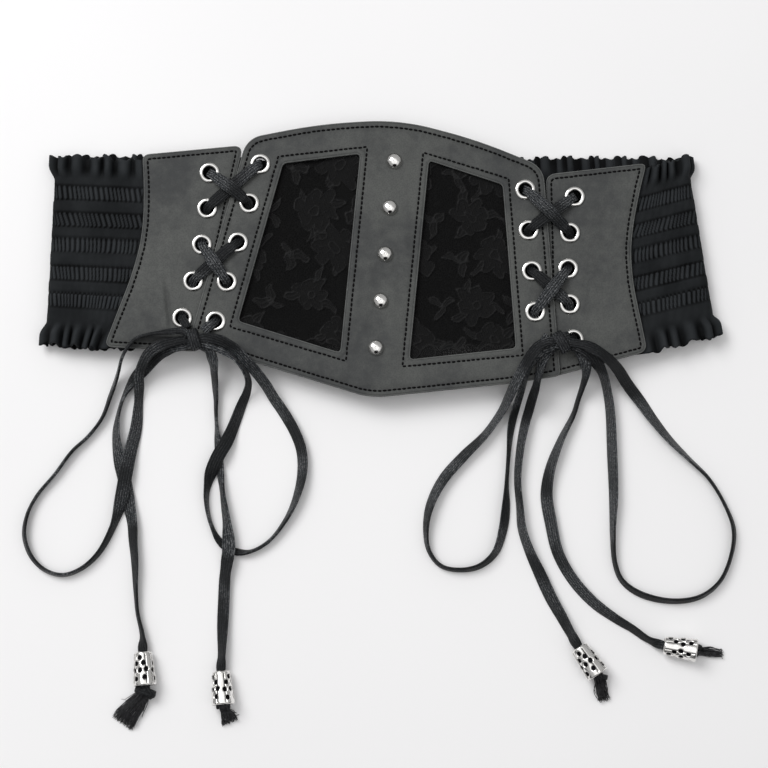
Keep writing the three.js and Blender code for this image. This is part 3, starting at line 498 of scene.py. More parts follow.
def leather_material():
    make = Material("leather", Specular_IOR_Level=0.2)
    place = make.place()
    cloud = make.noise(place, 24, 4, 0.62)
    mottle = make.noise(place, 210, 4, 0.65)
    grain = make.cells(place, 1300)
    fine = make.noise(place, 2600, 2, 0.6)
    tone = make.math("ADD", make.math("MULTIPLY", cloud, 0.7), make.math("MULTIPLY", mottle, 0.3))
    colour = make.mix(make.ramp(tone, 0.36, 0.64), (0.045, 0.047, 0.048, 1), (0.081, 0.084, 0.08, 1))
    colour = make.mix(make.ramp(grain, 0.1, 0.75, 0.4, 0.0), colour, (0.036, 0.038, 0.038, 1))
    # Painted highlight: the rolled rim near the edges is made paler, broken up by the mottle.
    rim = make.attribute("rim")
    rim_highlight = make.math("MULTIPLY", make.ramp(rim, 0.75, 0.2), make.ramp(mottle, 0.3, 0.6, 0.55, 1.0))
    colour = make.mix(make.math("MULTIPLY", rim_highlight, 0.4), colour, (0.17, 0.174, 0.17, 1))
    # Painted shade: darker in the pressed stitch lines and in the fold line near the edges.
    groove = make.attribute("groove")
    colour = make.mix(make.math("MULTIPLY", groove, 0.75), colour, (0.018, 0.019, 0.019, 1))
    # Painted shade in a soft slanted crease on the left side panel, with a bump to match.
    x, y, z = make.apart(place)
    slant = make.math("ADD", make.math("ADD", x, 0.1068), make.math("MULTIPLY", make.math("ADD", y, 0.022), 0.12))
    crease_shade = make.ramp(make.math("ABSOLUTE", slant), 0.0, 0.0022, 1.0, 0.0)
    crease_shade = make.math("MULTIPLY", crease_shade, make.ramp(make.math("ABSOLUTE", make.math("ADD", y, 0.024)), 0.004, 0.017, 1.0, 0.0))
    colour = make.mix(make.math("MULTIPLY", crease_shade, 0.45), colour, (0.03, 0.031, 0.031, 1))
    rough = make.ramp(tone, 0.3, 0.7, 0.66, 0.52)
    height = make.math("ADD", make.math("MULTIPLY", grain, 0.7), make.math("MULTIPLY", fine, 0.5))
    stretched = make.node("ShaderNodeVectorMath", operation="MULTIPLY")
    make.put(stretched.inputs[0], place)
    stretched.inputs[1].default_value = (1, 0.22, 1)
    dents = make.noise(stretched.outputs[0], 85, 2)
    normal = make.bump(cloud, 0.0012, 0.35)
    normal = make.bump(make.ramp(dents, 0.3, 0.55), 0.0005, 0.3, normal)
    normal = make.bump(make.math("SUBTRACT", 1.0, crease_shade), 0.0007, 0.8, normal)
    normal = make.bump(height, 0.00007, 0.55, normal)
    return make.finish(colour, rough, normal)


def thread_material():
    make = Material("thread", Roughness=0.8, Specular_IOR_Level=0.1)
    place = make.place()
    twist = make.noise(place, 2400, 2)
    colour = make.mix(make.ramp(twist, 0.3, 0.7), (0.0012, 0.0012, 0.0012, 1), (0.005, 0.005, 0.0055, 1))
    return make.finish(colour, None, make.bump(twist, 0.0001, 0.6))


def woven_material(name, dark, light, fleck_highlight, fleck_highlight_share):
    """Waxed flat lace: a fine diagonal weave with lines along it, a painted sheen on its raised threads and in patches,
    and painted highlight flecks.
    """
    make = Material(name, Specular_IOR_Level=0.22)
    weave = make.attribute("weave", "Vector")
    along, across, seed = make.apart(weave)
    first = make.math("SINE", make.math("MULTIPLY", make.math("ADD", along, make.math("MULTIPLY", across, 1.25)), 5.2))
    second = make.math("SINE", make.math("MULTIPLY", make.math("SUBTRACT", along, make.math("MULTIPLY", across, 1.25)), 5.2))
    plait = make.math("MULTIPLY", first, second)
    lines = make.math("ABSOLUTE", make.math("SINE", make.math("MULTIPLY", across, 2.5)))
    height = make.math("ADD", make.math("MULTIPLY", plait, 0.3), make.math("MULTIPLY", lines, 0.7))
    stretched = make.node("ShaderNodeVectorMath", operation="MULTIPLY")
    make.put(stretched.inputs[0], weave)
    stretched.inputs[1].default_value = (1.1, 1.9, 1)
    # Large patches of painted sheen, which also make the lace glossier there.
    wax_and_sheen = make.ramp(make.noise(weave, 0.032, 2, 0.5), 0.4, 0.62)
    speck = make.noise(stretched.outputs[0], 1, 2, 0.6)
    # Painted sheen: the raised threads are lighter, more so in the sheen patches.
    painted_sheen = make.math("MULTIPLY", make.ramp(height, 0.0, 0.9), make.ramp(wax_and_sheen, 0.0, 1.0, 0.22, 1.0))
    colour = make.mix(painted_sheen, dark, light)
    # Painted highlight flecks on the raised threads, stronger in the sheen patches.
    bright = make.math("MULTIPLY", make.ramp(speck, 0.49, 0.6), make.ramp(wax_and_sheen, 0.0, 1.0, 0.12, 1.0))
    bright = make.math("MULTIPLY", bright, make.ramp(height, 0.0, 0.6))
    colour = make.mix(make.math("MULTIPLY", bright, fleck_highlight_share), colour, fleck_highlight)
    rough = make.ramp(wax_and_sheen, 0.0, 1.0, 0.55, 0.34)
    return make.finish(colour, rough, make.bump(height, 0.00032, 0.9))


def elastic_material():
    make = Material("elastic", Specular_IOR_Level=0.08)
    place = make.place()
    x, y, z = make.apart(place)
    # Painted light and shade: rib crests lighter, rib valleys and row borders darker, ruffle folds lit and shaded.
    crest_light_and_shade = make.attribute("crest_light_and_shade")
    thread = make.math("SINE", make.math("MULTIPLY", y, 9000))
    cross = make.math("SINE", make.math("MULTIPLY", x, 9000))
    knit = make.math("MULTIPLY", thread, cross)
    wear = make.noise(place, 70, 3)
    tone = make.math("ADD", make.ramp(crest_light_and_shade, 0.0, 1.0, 0.0, 0.9), make.ramp(wear, 0.35, 0.65, 0.0, 0.15))
    colour = make.mix(tone, (0.0008, 0.0009, 0.001, 1), (0.029, 0.032, 0.035, 1))
    normal = make.bump(knit, 0.00009, 0.5)
    return make.finish(colour, make.ramp(wear, 0.3, 0.7, 0.82, 0.7), normal)


def lace_material():
    make = Material("lace", Specular_IOR_Level=0.1)
    place = make.place()
    figure = make.attribute("figure")
    cord = make.attribute("cord")
    net = make.cells(place, 900, "DISTANCE_TO_EDGE")
    strands = make.ramp(net, 0.1, 0.2, 1.0, 0.0)
    dense = make.noise(place, 2200, 1)
    x, y, z = make.apart(place)
    ribs = make.math("SINE", make.math("MULTIPLY", make.math("ADD", x, make.math("MULTIPLY", y, 0.35)), 5200))
    cloth = make.math("MULTIPLY", figure, make.ramp(dense, 0.35, 0.5, 0.8, 1.0))
    solid = make.math("MAXIMUM", make.math("MAXIMUM", strands, cloth), cord)
    alpha = make.math("MAXIMUM", solid, 0.75)
    cloth_tone = make.math("MULTIPLY", figure, make.ramp(ribs, -0.6, 0.6, 0.5, 1.0))
    colour = make.mix(cloth_tone, (0.0035, 0.0035, 0.0036, 1), (0.0066, 0.0066, 0.0068, 1))
    edge_tone = make.math("MULTIPLY", cord, make.ramp(dense, 0.3, 0.7, 0.5, 1.0))
    colour = make.mix(edge_tone, colour, (0.0088, 0.0088, 0.009, 1))
    glint = make.math("MULTIPLY", make.attribute("glint"), make.ramp(make.noise(place, 1300, 2), 0.5, 0.64))
    colour = make.mix(glint, colour, (0.16, 0.16, 0.16, 1))
    height = make.math("ADD", make.math("MULTIPLY", solid, 0.4), cord)
    rough = make.ramp(cord, 0.0, 1.0, 0.8, 0.5)
    return make.finish(colour, rough, make.bump(height, 0.0003, 0.7), alpha)


def nickel_material(name, colour_low, colour_high, rough_low, rough_high):
    make = Material(name, Metallic=1.0)
    place = make.place()
    haze = make.noise(place, 240, 3)
    scratch = make.noise(place, 2600, 2, 0.7)
    colour = make.mix(make.ramp(haze, 0.3, 0.7), colour_low, colour_high)
    rough = make.ramp(haze, 0.3, 0.7, rough_low, rough_high)
    return make.finish(colour, rough, make.bump(scratch, 0.00001, 0.4))


def cast_material():
    make = Material("cast_metal", Metallic=1.0)
    place = make.place()
    pit = make.attribute("pit")
    haze = make.noise(place, 300, 3)
    colour = make.mix(make.ramp(haze, 0.3, 0.7), (0.78, 0.765, 0.74, 1), (0.9, 0.89, 0.87, 1))
    # Dark in the pits and grooves, with painted shade inside the hole and at the very ends.
    colour = make.mix(make.ramp(pit, 0.25, 0.75), colour, (0.008, 0.008, 0.009, 1))
    rough = make.math("ADD", make.ramp(haze, 0.3, 0.7, 0.09, 0.2), make.math("MULTIPLY", pit, 0.5))
    return make.finish(colour, rough, make.bump(haze, 0.00006, 0.5))


def strand_material():
    make = Material("frayed_strands", Specular_IOR_Level=0.4)
    place = make.place()
    tone = make.noise(place, 900, 2)
    colour = make.mix(make.ramp(tone, 0.3, 0.7), (0.006, 0.006, 0.007, 1), (0.03, 0.03, 0.033, 1))
    return make.finish(colour, make.ramp(tone, 0.3, 0.7, 0.65, 0.45), make.bump(tone, 0.00015, 0.5))


def floor_material():
    make = Material("pale_surface", Specular_IOR_Level=0.2)
    place = make.place()
    tone = make.noise(place, 3, 2)
    colour = make.mix(make.ramp(tone, 0.3, 0.7), (0.86, 0.855, 0.86, 1), (0.885, 0.88, 0.885, 1))
    return make.finish(colour, make.ramp(tone, 0.3, 0.7, 0.55, 0.6), make.bump(make.noise(place, 500, 2), 0.00002, 0.3))


LEATHER = leather_material()
THREAD = thread_material()
# The last colour and share are those of the painted highlight flecks.
LACES = woven_material("waxed_lace", (0.0022, 0.0026, 0.0032, 1), (0.029, 0.033, 0.038, 1), (0.17, 0.175, 0.18, 1), 0.85)
ELASTIC = elastic_material()
FLORAL = lace_material()
NICKEL = nickel_material("nickel", (0.72, 0.71, 0.69, 1), (0.86, 0.85, 0.83, 1), 0.07, 0.14)
CAST = cast_material()
STRANDS = strand_material()


# Camera


def make_camera():
    data = bpy.data.cameras.new("camera")
    data.sensor_width = 36
    data.lens = 102.2
    camera = bpy.data.objects.new("camera", data)
    bpy.context.scene.collection.objects.link(camera)
    elevation = math.radians(85)
    back = Vector((0, -math.cos(elevation), math.sin(elevation)))
    camera.location = Vector((1.5, -62, 0)) * MM + back * 1.1
    camera.rotation_euler = (-back).to_track_quat("-Z", "Y").to_euler()
    bpy.context.scene.camera = camera


make_camera()


# Free laces, beads and tassels


# How far each end of a free lace runs on into the middle of its knot, as a share of the way there
INTO_KNOT = 0.55


def into_knot(points, both_ends):
    """The route with its ends carried on into the knot that holds them."""
    middle = np.array(KNOTS["left" if points[0][0] < 0 else "right"]["middle"])

    def inner(end):
        return (np.array(end) + (middle - end) * INTO_KNOT).tolist()

    return [inner(points[0]), *points] + ([inner(points[-1])] if both_ends else [])


FREE_ROUTES = [smooth_route(into_knot(points, True), 1.4) for points in BOW_LOOPS]
FREE_ROUTES += [smooth_route(into_knot(points, False), 1.4) for points in BOW_TAILS]


def flat_share(index):
    """From 0 to 1 along a lace: how flat it lies, because another passes over or under it."""
    own = FREE_ROUTES[index]
    room = np.full(len(own), 30.0)
    for other_index, other in enumerate(FREE_ROUTES):
        if other_index == index:
            continue
        apart = own[:, None] - other[None]
        gap = np.linalg.norm(apart[:, :, :2], axis=2) + 30 * (np.abs(apart[:, :, 2]) < 1.3)
        room = np.minimum(room, gap.min(axis=1))
    return 1 - ease((room - 2.5) / 5)


def seen_sizes(index, points, seen):
    """Width, wall and roll in degrees along a lace that looks as wide as seen at its points."""
    route = FREE_ROUTES[index]
    places = [int(np.argmin(np.linalg.norm(route - point, axis=1))) for point in np.array(points, float)]
    wanted = np.interp(np.arange(len(route)), places, seen)
    wanted = np.convolve(np.pad(wanted, 4, mode="edge"), np.ones(9) / 9, mode="valid")
    widths = np.clip(2.3 + 0.95 * wanted, 4, LACE_WIDTH)
    walls = LACE_WALL + np.clip(0.2 * (4.5 - wanted), 0, 0.5)
    reach = np.hypot(widths, walls)
    rolls = np.degrees(np.arctan2(walls, widths) + np.arccos(np.clip(wanted / reach, 0, 1)))
    along = lengths_along(route)
    to_knot = np.minimum(along, along[-1] - along) if index < 4 else along
    held = 1 - ease((to_knot - 5) / 9)
    widths = widths + (np.minimum(wanted, 4.6) - widths) * held
    rolls = np.clip(rolls * (1 - 0.9 * flat_share(index)) * (1 - 0.9 * held), 0, 86)
    rolls = np.convolve(np.pad(rolls, 4, mode="edge"), np.ones(9) / 9, mode="valid")
    return widths, walls, rolls


def make_free_lace(name, index, seen, node, far_end, points):
    route = FREE_ROUTES[index]
    widths, walls, roll = seen_sizes(index, points, seen)
    if far_end == "fitting":
        left = lengths_along(route)[-1] - lengths_along(route)
        narrow = ease((left - BEAD_LENGTH + 1) / 9)
        widths = 4.4 + (widths - 4.4) * narrow
        walls = 2.4 + (walls - 2.4) * narrow
        roll = roll * narrow
        keep = left > 4
        route, widths, walls, roll = route[keep], widths[keep], walls[keep], roll[keep]
    solid, faces, attributes, middle = sweep(
        route, level_of(route), widths, walls, roll, floor=0.12, seed=index * 3.7
    )
    piece = add_piece(name, solid, faces, LACES, (node,), attributes)
    return piece


PITS = [(0, 2.9), (-2.0, 5.7), (2.1, 5.4), (-3.5, 9.2), (0, 9.0), (3.5, 8.6), (-2.4, 13.2), (2.6, 12.5)]
BEAD_TURNS = [-18, 58, -28, 64]


def bead_frame(tail):
    entry, last = np.array(tail[-2]), np.array(tail[-1])
    way = unit(last - entry)
    across = unit(np.array([-way[1], way[0], 0]))
    return entry, way, across, np.cross(across, way) * -1


def make_bead(index):
    entry, way, across, up = bead_frame(BOW_TAILS[index])
    if up[2] < 0:
        up = -up
    sides, steps = 120, 56
    along = np.linspace(0, BEAD_LENGTH, steps)
    angle = np.arange(sides) / sides * 2 * math.pi
    body = BEAD_NARROW + (BEAD_WIDE - BEAD_NARROW) * along / BEAD_LENGTH
    rim = np.minimum(along, BEAD_LENGTH - along)
    body = body - 0.45 * (1 - np.clip(rim / 0.8, 0, 1)) ** 2
    radius = np.repeat(body[:, None], sides, axis=1)
    pit = np.zeros_like(radius)
    for panel in range(3):
        middle = math.radians(BEAD_TURNS[index] + panel * 120)
        off = (angle - middle + math.pi) % (2 * math.pi) - math.pi
        for sideways, place in PITS:
            gap = np.hypot(off[None, :] * body[:, None] - sideways, along[:, None] - place)
            pit = np.maximum(pit, 1 - ease((gap - 1.02) / 0.45))
        for edge in (-1, 1):
            line = np.abs(off[None, :] - edge * math.radians(37)) * body[:, None]
            groove = (1 - ease((line - 0.12) / 0.3)) * ease(rim[:, None] / 1.2 - 0.4)
            pit = np.maximum(pit, groove * 0.8)
        ridge = (off - math.radians(60) + math.pi) % (2 * math.pi) - math.pi
        radius += 0.05 * (1 - ease((np.abs(ridge) - 0.26) / 0.16))[None, :] * ease(rim[:, None] / 1.5)
    radius -= 0.75 * pit
    outside = radius
    inside_wall = np.full((2, sides), BEAD_HOLE)
    radii = np.vstack([outside, inside_wall])
    heights = np.concatenate([along, [BEAD_LENGTH - 0.2, 0.2]])
    local = (
        entry
        + way * heights[:, None, None]
        + up * (radii * np.cos(angle))[:, :, None]
        + across * (radii * np.sin(angle))[:, :, None]
    )
    local[:, :, 2] = np.maximum(local[:, :, 2], 0.02)
    # Painted shade: the inside wall of the hole is made fully dark and the very ends slightly dark.
    shade = np.vstack([pit, np.ones((2, sides))])
    shade[:steps][np.minimum(along, BEAD_LENGTH - along) < 0.2] = 0.35
    faces = closed_faces(steps + 2, sides)
    name = f"cord_end_{index + 1}"
    return add_piece(f"bead_{index + 1}", local.reshape(-1, 3), faces, CAST, (name,), {"pit": shade.ravel()})


# Heading in degrees, length, half width of the fan, half width of the knot, strands, knot wraps
TASSELS = [
    (-127, 20, 6, 4.6, 170, True),
    (-66, 7.5, 4.2, 3.2, 90, False),
    (-80, 11, 2.8, 3.8, 76, False),
    (-6, 11.5, 1.8, 3, 50, False),
]


def strand(points, radius):
    """A thin thread along points, with five sides and a pinched end."""
    along = unit(np.gradient(points, axis=0))
    level = unit(np.cross(along, [0, 0, 1]) + 1e-6)
    high = np.cross(level, along)
    angle = np.arange(5) / 5 * 2 * math.pi
    size = radius * np.linspace(1, 0.45, len(points))
    ring = level[:, None] * np.cos(angle)[None, :, None] + high[:, None] * np.sin(angle)[None, :, None]
    return (points[:, None] + ring * size[:, None, None]).reshape(-1, 3), tube_faces(len(points), 5), {}


def make_tassel(index):
    heading, length, fan, knot, strands, wrapped = TASSELS[index]
    entry, way, across, up = bead_frame(BOW_TAILS[index])
    height = 0.75 * knot + 0.3
    start = entry + way * (BEAD_LENGTH - 0.6)
    middle = entry + way * (BEAD_LENGTH + 0.6 * knot)
    middle[2] = max(height, 2.4)
    out = np.array([math.cos(math.radians(heading)), math.sin(math.radians(heading)), 0])
    beside = np.array([-out[1], out[0], 0])
    parts = []
    for _ in range(strands):
        spot = dice.uniform(-1, 1)
        depth = dice.uniform(0, 1)
        root = start + across * spot * 2.4 + np.array([0, 0, (depth - 0.5) * 3.4])
        waist = middle + beside * spot * knot * 0.72 + out * 0.5 * knot
        waist[2] = 0.5 + depth * (height + 0.8)
        reach = length * dice.uniform(0.84, 1.02)
        if dice.uniform() < 0.12:
            reach = length * dice.uniform(0.45, 1.0)
        tip = middle + out * reach + beside * (spot * fan + dice.normal(0, 0.35))
        tip[2] = 0.35 + depth * (2.6 if length > 20 else 2.2)
        bend = (waist + tip) / 2 + beside * dice.normal(0, 0.5)
        bend[2] = 0.45 + depth * (height * 0.5 + 1.4)
        frayed = tip + out * dice.uniform(0.1, 0.9) + beside * dice.normal(0, 0.55)
        frayed[2] = max(0.3, tip[2] - dice.uniform(0, 0.6))
        line = smooth_route([root, waist, bend, tip, frayed], max(1.2, length / 10))
        line[:, 2] = np.maximum(line[:, 2], 0.3)
        parts.append(strand(line, dice.uniform(0.2, 0.34)))
    points, faces, attributes = joined(parts)
    tassel = add_piece(f"frayed_{index + 1}", points, faces, STRANDS, (f"tassel_{index + 1}",))
    pieces = [tassel]
    arcs = []
    turns = 2 if wrapped else 1
    for turn in range(turns):
        angle = np.linspace(-0.35 * math.pi, 1.35 * math.pi, 30)
        size = knot * (1.0 if wrapped else 0.9)
        centre = middle + out * (turn * 1.5 - 1.1)
        centre[2] = max(height, 0.72 * size + 0.9)
        tilt = 0.35 * (1 - 2 * turn)
        arc = (
            centre
            + beside * (np.cos(angle) * size)[:, None]
            + out * (np.cos(angle) * size * tilt)[:, None]
            + np.array([0, 0, 1]) * (np.sin(angle) * size * 0.72)[:, None]
        )
        wide = np.repeat(unit(out - beside * tilt)[None], len(arc), axis=0)
        width = np.full(len(arc), 3.6 if wrapped else 2.6)
        solid, arc_faces, marks, _ = sweep(arc, wide, width, np.full(len(arc), 1.0), np.zeros(len(arc)), sides=12, floor=0.1)
        arcs.append((solid, arc_faces, marks))
    points, faces, attributes = joined(arcs)
    pieces.append(add_piece(f"tassel_wrap_{index + 1}", points, faces, LACES, (), attributes))
    return pieces


for number in range(4):
    make_free_lace(
        f"loop_{number + 1}", number, LOOP_WIDTHS[number], f"bow_loop_{number + 1}", "object", BOW_LOOPS[number]
    )
for number in range(4):
    ends = [make_bead(number), *make_tassel(number)]
    make_free_lace(
        f"tail_{number + 1}", number + 4, TAIL_WIDTHS[number], f"bow_tail_{number + 1}", "fitting", BOW_TAILS[number]
    )


# Leather panels


FRONT_OUTLINE = [
    (0, 1.003, 0.28), (0.43, 0.91, 0.225), (0.805, 0.763, 0.113),
    (1, -0.704, 0.035), (0.731, -0.794, 0.14), (0, -0.99, 0.113),
]
SIDE_OUTLINE = [
    (0, 0.995, 0.085), (0.852, 1.005, 0.06), (0.812, 0.72, 0.136), (0.783, 0.38, 0.136), (0.785, 0.1, 0.136),
    (0.833, -0.21, 0.136), (0.917, -0.53, 0.136), (1, -0.855, 0.077), (0.2, -1, 0.034),
]


def front_corner(index):
    across, up, _ = FRONT_OUTLINE[index]
    return across * PANEL_HALF_WIDTH, up * PANEL_HALF_HEIGHT


def between(first, second, value, axis):
    other = 1 - axis
    return first[other] + (second[other] - first[other]) * (value - first[axis]) / (second[axis] - first[axis])


def panel_edge(up):
    return between(front_corner(2), front_corner(3), up, 1)


def panel_top(across):
    first = 0 if across < front_corner(1)[0] else 1
    return between(front_corner(first), front_corner(first + 1), across, 0)


def panel_bottom(across):
    first = 4 if across < front_corner(4)[0] else 3
    return between(front_corner(first), front_corner(first + 1), across, 0)


def window_outline(sign, seam, rounding=2):
    inner = BAR_HALF_WIDTH - seam
    near_top = panel_edge(front_corner(2)[1] - WINDOW_TOP_MARGIN) - WINDOW_SIDE_MARGIN
    near_bottom = panel_edge(front_corner(4)[1] + WINDOW_BOTTOM_MARGIN) - WINDOW_SIDE_MARGIN
    top = panel_top(near_top) - WINDOW_TOP_MARGIN + seam
    bottom = panel_bottom(near_bottom) + WINDOW_BOTTOM_MARGIN - seam
    corners = [
        (inner, panel_top(inner) - WINDOW_TOP_MARGIN + seam),
        (panel_edge(top) - WINDOW_SIDE_MARGIN + seam, top),
        (panel_edge(bottom) - WINDOW_SIDE_MARGIN + seam, bottom),
        (inner, panel_bottom(inner) + WINDOW_BOTTOM_MARGIN - seam),
    ]
    return rounded_outline([(*turned(across * sign, up), rounding) for across, up in corners])


def eyelet_centre(column, side, row):
    low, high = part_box(f"eyelet_{column}_{side}_{row + 1}")
    return np.array([(low[0] + high[0]) / 2, (low[1] + high[1]) / 2]) / MM


def circle(centre, radius, sides):
    angle = np.arange(sides) / sides * 2 * math.pi
    return centre + radius * np.column_stack([np.cos(angle), np.sin(angle)])


def make_plate(name, outline, windows, eyelets, base, wall, nodes, stitch_inset, window_inset, grid=3.6):
    """A leather panel with rolled edges and a pressed line under its stitches."""
    outline = closed_resample(outline, 1.3)
    windows = [closed_resample(line, 1.3) for line in windows]
    holes = [circle(centre, 3.75, 32) for centre in eyelets]
    edges = [outline, *windows, *holes]
    samples = []
    for offset in (0.2, 0.45, 0.7, 0.95, 1.35, 2.1, stitch_inset, 3.1):
        samples.append(offset_line(outline, offset))
    for line in windows:
        for offset in (0.2, 0.45, 0.7, 0.95, 1.6, 2.4, 2.9, window_inset, 3.8, 4.8):
            samples.append(offset_line(line, -offset))
    for centre in eyelets:
        for radius, sides in ((4.3, 32), (5.3, 28), (6.2, 24), (7.4, 20)):
            samples.append(circle(centre, radius, sides))
    low, high = outline.min(axis=0), outline.max(axis=0)
    across, up = np.meshgrid(np.arange(low[0], high[0], grid), np.arange(low[1], high[1], grid))
    inner = np.column_stack([across.ravel(), up.ravel()])
    inner += dice.uniform(-0.3, 0.3, inner.shape) * grid * 0.5
    samples.append(inner)
    free = np.vstack(samples)
    keep = inside(free, outline)
    for line in windows + holes:
        keep &= ~inside(free, line)
    free = free[keep]
    gap = np.min([distance_to(free, line) for line in edges], axis=0)
    free = free[gap > 0.12]
    flat = np.vstack([*edges, free])
    constraints, start = [], 0
    for line in edges:
        constraints += [(start + i, start + (i + 1) % len(line)) for i in range(len(line))]
        start += len(line)
    made, _, triangles, *_ = delaunay_2d_cdt([Vector(p) for p in flat], constraints, [], 0, 1e-4)
    plan = np.array([[p.x, p.y] for p in made])
    triangles = np.array([face for face in triangles if len(face) == 3])
    centres = plan[triangles].mean(axis=1)
    good = inside(centres, outline)
    for line in windows + holes:
        good &= ~inside(centres, line)
    triangles = triangles[good]
    used = np.unique(triangles)
    number = np.full(len(plan), -1)
    number[used] = np.arange(len(used))
    plan, triangles = plan[used], number[triangles]
    from_outline = distance_to(plan, outline)
    from_window = np.min([distance_to(plan, line) for line in windows], axis=0) if windows else np.full(len(plan), 99.0)
    from_hole = np.min([distance_to(plan, line) for line in holes], axis=0) if holes else np.full(len(plan), 99.0)
    edge = np.minimum(np.minimum(from_outline, from_window), from_hole)
    seam = np.exp(-(((from_outline - stitch_inset) / 0.42) ** 2)) + np.exp(-(((from_window - window_inset) / 0.42) ** 2))
    ply = np.exp(-(((np.minimum(from_outline, from_window) - 0.72) / 0.17) ** 2))
    # Where painted shade darkens the pressed stitch line and the fold line near the edge; the underside gets none.
    groove = np.clip(0.5 * seam + 0.8 * ply, 0, 1)
    pressed = np.exp(-(((from_hole - 1.7) / 0.8) ** 2))
    top = base + wall - 0.3 * np.clip(1 - edge / 0.4, 0, 1) ** 2 - 0.16 * seam - 0.22 * ply - 0.14 * pressed
    rim = np.minimum(from_outline, from_window)
    count = len(plan)
    upper = np.column_stack([plan, top])
    lower = np.column_stack([plan, np.full(count, base + 0.02)])
    faces = [tuple(t) for t in triangles] + [tuple(t[::-1] + count) for t in triangles]
    pairs = {}
    for a, b, c in triangles:
        for edge_pair in ((a, b), (b, c), (c, a)):
            pairs[edge_pair] = True
    for a, b in pairs:
        if (b, a) not in pairs:
            faces.append((b, a, a + count, b + count))
    marks = {"rim": np.concatenate([rim, rim]), "groove": np.concatenate([groove, groove * 0])}
    return add_piece(name, np.vstack([upper, lower]), faces, LEATHER, nodes, marks)


def stitch_parts(line, pitch, length, height, radius=0.5):
    """Stitches along a closed line, each a short thread whose ends dip into the leather."""
    closed = np.vstack([line, line[:1]])
    along = lengths_along(closed)
    count = int(round(along[-1] / pitch))
    parts = []
    for index in range(count):
        begin = (index + 0.12) * along[-1] / count
        places = np.linspace(begin, begin + length, 5)
        xy = np.column_stack([np.interp(places, along, closed[:, axis]) for axis in range(2)])
        z = height + np.array([-0.4, -0.02, 0.06, -0.02, -0.4])
        xy[:, 0] += dice.normal(0, 0.05)
        xy[:, 1] += dice.normal(0, 0.05)
        points = np.column_stack([xy, z])
        way = unit(np.gradient(points, axis=0))
        level = unit(np.cross(way, [0, 0, 1]))
        high = np.cross(level, way)
        angle = np.arange(6) / 6 * 2 * math.pi
        size = radius * np.array([0.7, 1, 1, 1, 0.7])
        ring = level[:, None] * np.cos(angle)[None, :, None] + high[:, None] * np.sin(angle)[None, :, None]
        parts.append(((points[:, None] + ring * size[:, None, None]).reshape(-1, 3), tube_faces(5, 6), {}))
    return parts


def make_stitches(name, lines):
    parts = []
    for line, height in lines:
        parts += stitch_parts(line, 2.45, 1.75, height)
    points, faces, _ = joined(parts)
    return add_piece(name, points, faces, THREAD)


def make_front_panel():
    right = [(*front_corner(i), FRONT_OUTLINE[i][2] * PANEL_HALF_HEIGHT) for i in range(len(FRONT_OUTLINE))]
    left = [(-x, y, r) for x, y, r in reversed(right[1:-1])]
    outline = rounded_outline([(*turned(x, y), r) for x, y, r in right + left])
    windows = [window_outline(sign, 0) for sign in (-1, 1)]
    eyelets = [eyelet_centre("front", side, row) for side in SIDES for row in range(5)]
    make_plate("front_leather", outline, windows, eyelets, PANEL_BASE, LEATHER_WALL, ("centre_panel",), 2.9, 3.3)
    height = PANEL_BASE + LEATHER_WALL - 0.02
    lines = [(offset_line(closed_resample(outline, 1), 2.9), height)]
    for sign in (-1, 1):
        lines.append((closed_resample(window_outline(sign, 3.3, 0.3), 1), height))
    make_stitches("front_stitches", lines)


def side_corner(row):
    across, up, _ = SIDE_OUTLINE[row]
    return SIDE_INNER + across * SIDE_WIDTH, up * (SIDE_TOP if up > 0 else SIDE_DROP)


def make_side_panel(side):
    sign = SIGN[side]
    corners = [(*slid(*side_corner(i), sign), SIDE_OUTLINE[i][2] * SIDE_WIDTH) for i in range(len(SIDE_OUTLINE))]
    outline = rounded_outline(corners)
    eyelets = [eyelet_centre("side", side, row) for row in range(5)]
    make_plate(
        f"side_leather_{side}", outline, [], eyelets, SIDE_BASE, LEATHER_WALL, (f"side_panel_{side}",), 2.6, 3.3
    )
    make_stitches(f"side_stitches_{side}", [(offset_line(closed_resample(outline, 1), 2.6), SIDE_BASE + LEATHER_WALL - 0.02)])


make_front_panel()
for side_name in SIDES:
    make_side_panel(side_name)


# Eyelets and studs


EYELET_PROFILE = [
    (3.15, -0.5), (3.55, -0.55), (4.5, -0.35), (4.75, -0.12), (3.62, -0.1), (3.62, 1.68), (5.1, 1.68), (5.2, 1.78),
    (5.12, 1.98), (4.8, 2.25), (4.4, 2.42), (4.0, 2.48), (3.6, 2.38), (3.3, 2.12), (3.15, 1.75),
]


def make_eyelet(column, side, row):
    centre = eyelet_centre(column, side, row)
    base = PANEL_BASE if column == "front" else SIDE_BASE
    rings = lathe(EYELET_PROFILE, 56)
    rings += np.array([centre[0], centre[1], base])
    name = f"eyelet_{column}_{side}_{row + 1}"
    add_piece(f"ring_{name}", rings.reshape(-1, 3), closed_faces(len(EYELET_PROFILE), 56), NICKEL, (name,))


def make_stud(index):
    low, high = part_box(f"stud_{index + 1}")
    centre = np.array([low[0] + high[0], low[1] + high[1]]) / 2 / MM
    base = low[2] / MM
    angle = np.linspace(0, math.pi / 2, 12)
    dome = [(max(0.02, 3.86 * math.cos(a)), 0.35 + 2.6 * math.sin(a)) for a in angle]
    profile = [(0.02, 0), (3.9, 0), (4.05, 0.1), (4.02, 0.28), *dome]
    rings = lathe(profile, 56) + np.array([centre[0], centre[1], base])
    faces = closed_faces(len(profile), 56)
    add_piece(f"dome_{index + 1}", rings.reshape(-1, 3), faces, NICKEL, (f"stud_{index + 1}",))


for side_name in SIDES:
    for row_number in range(5):
        make_eyelet("front", side_name, row_number)
        make_eyelet("side", side_name, row_number)
for stud_number in range(5):
    make_stud(stud_number)


# Lacing and knots


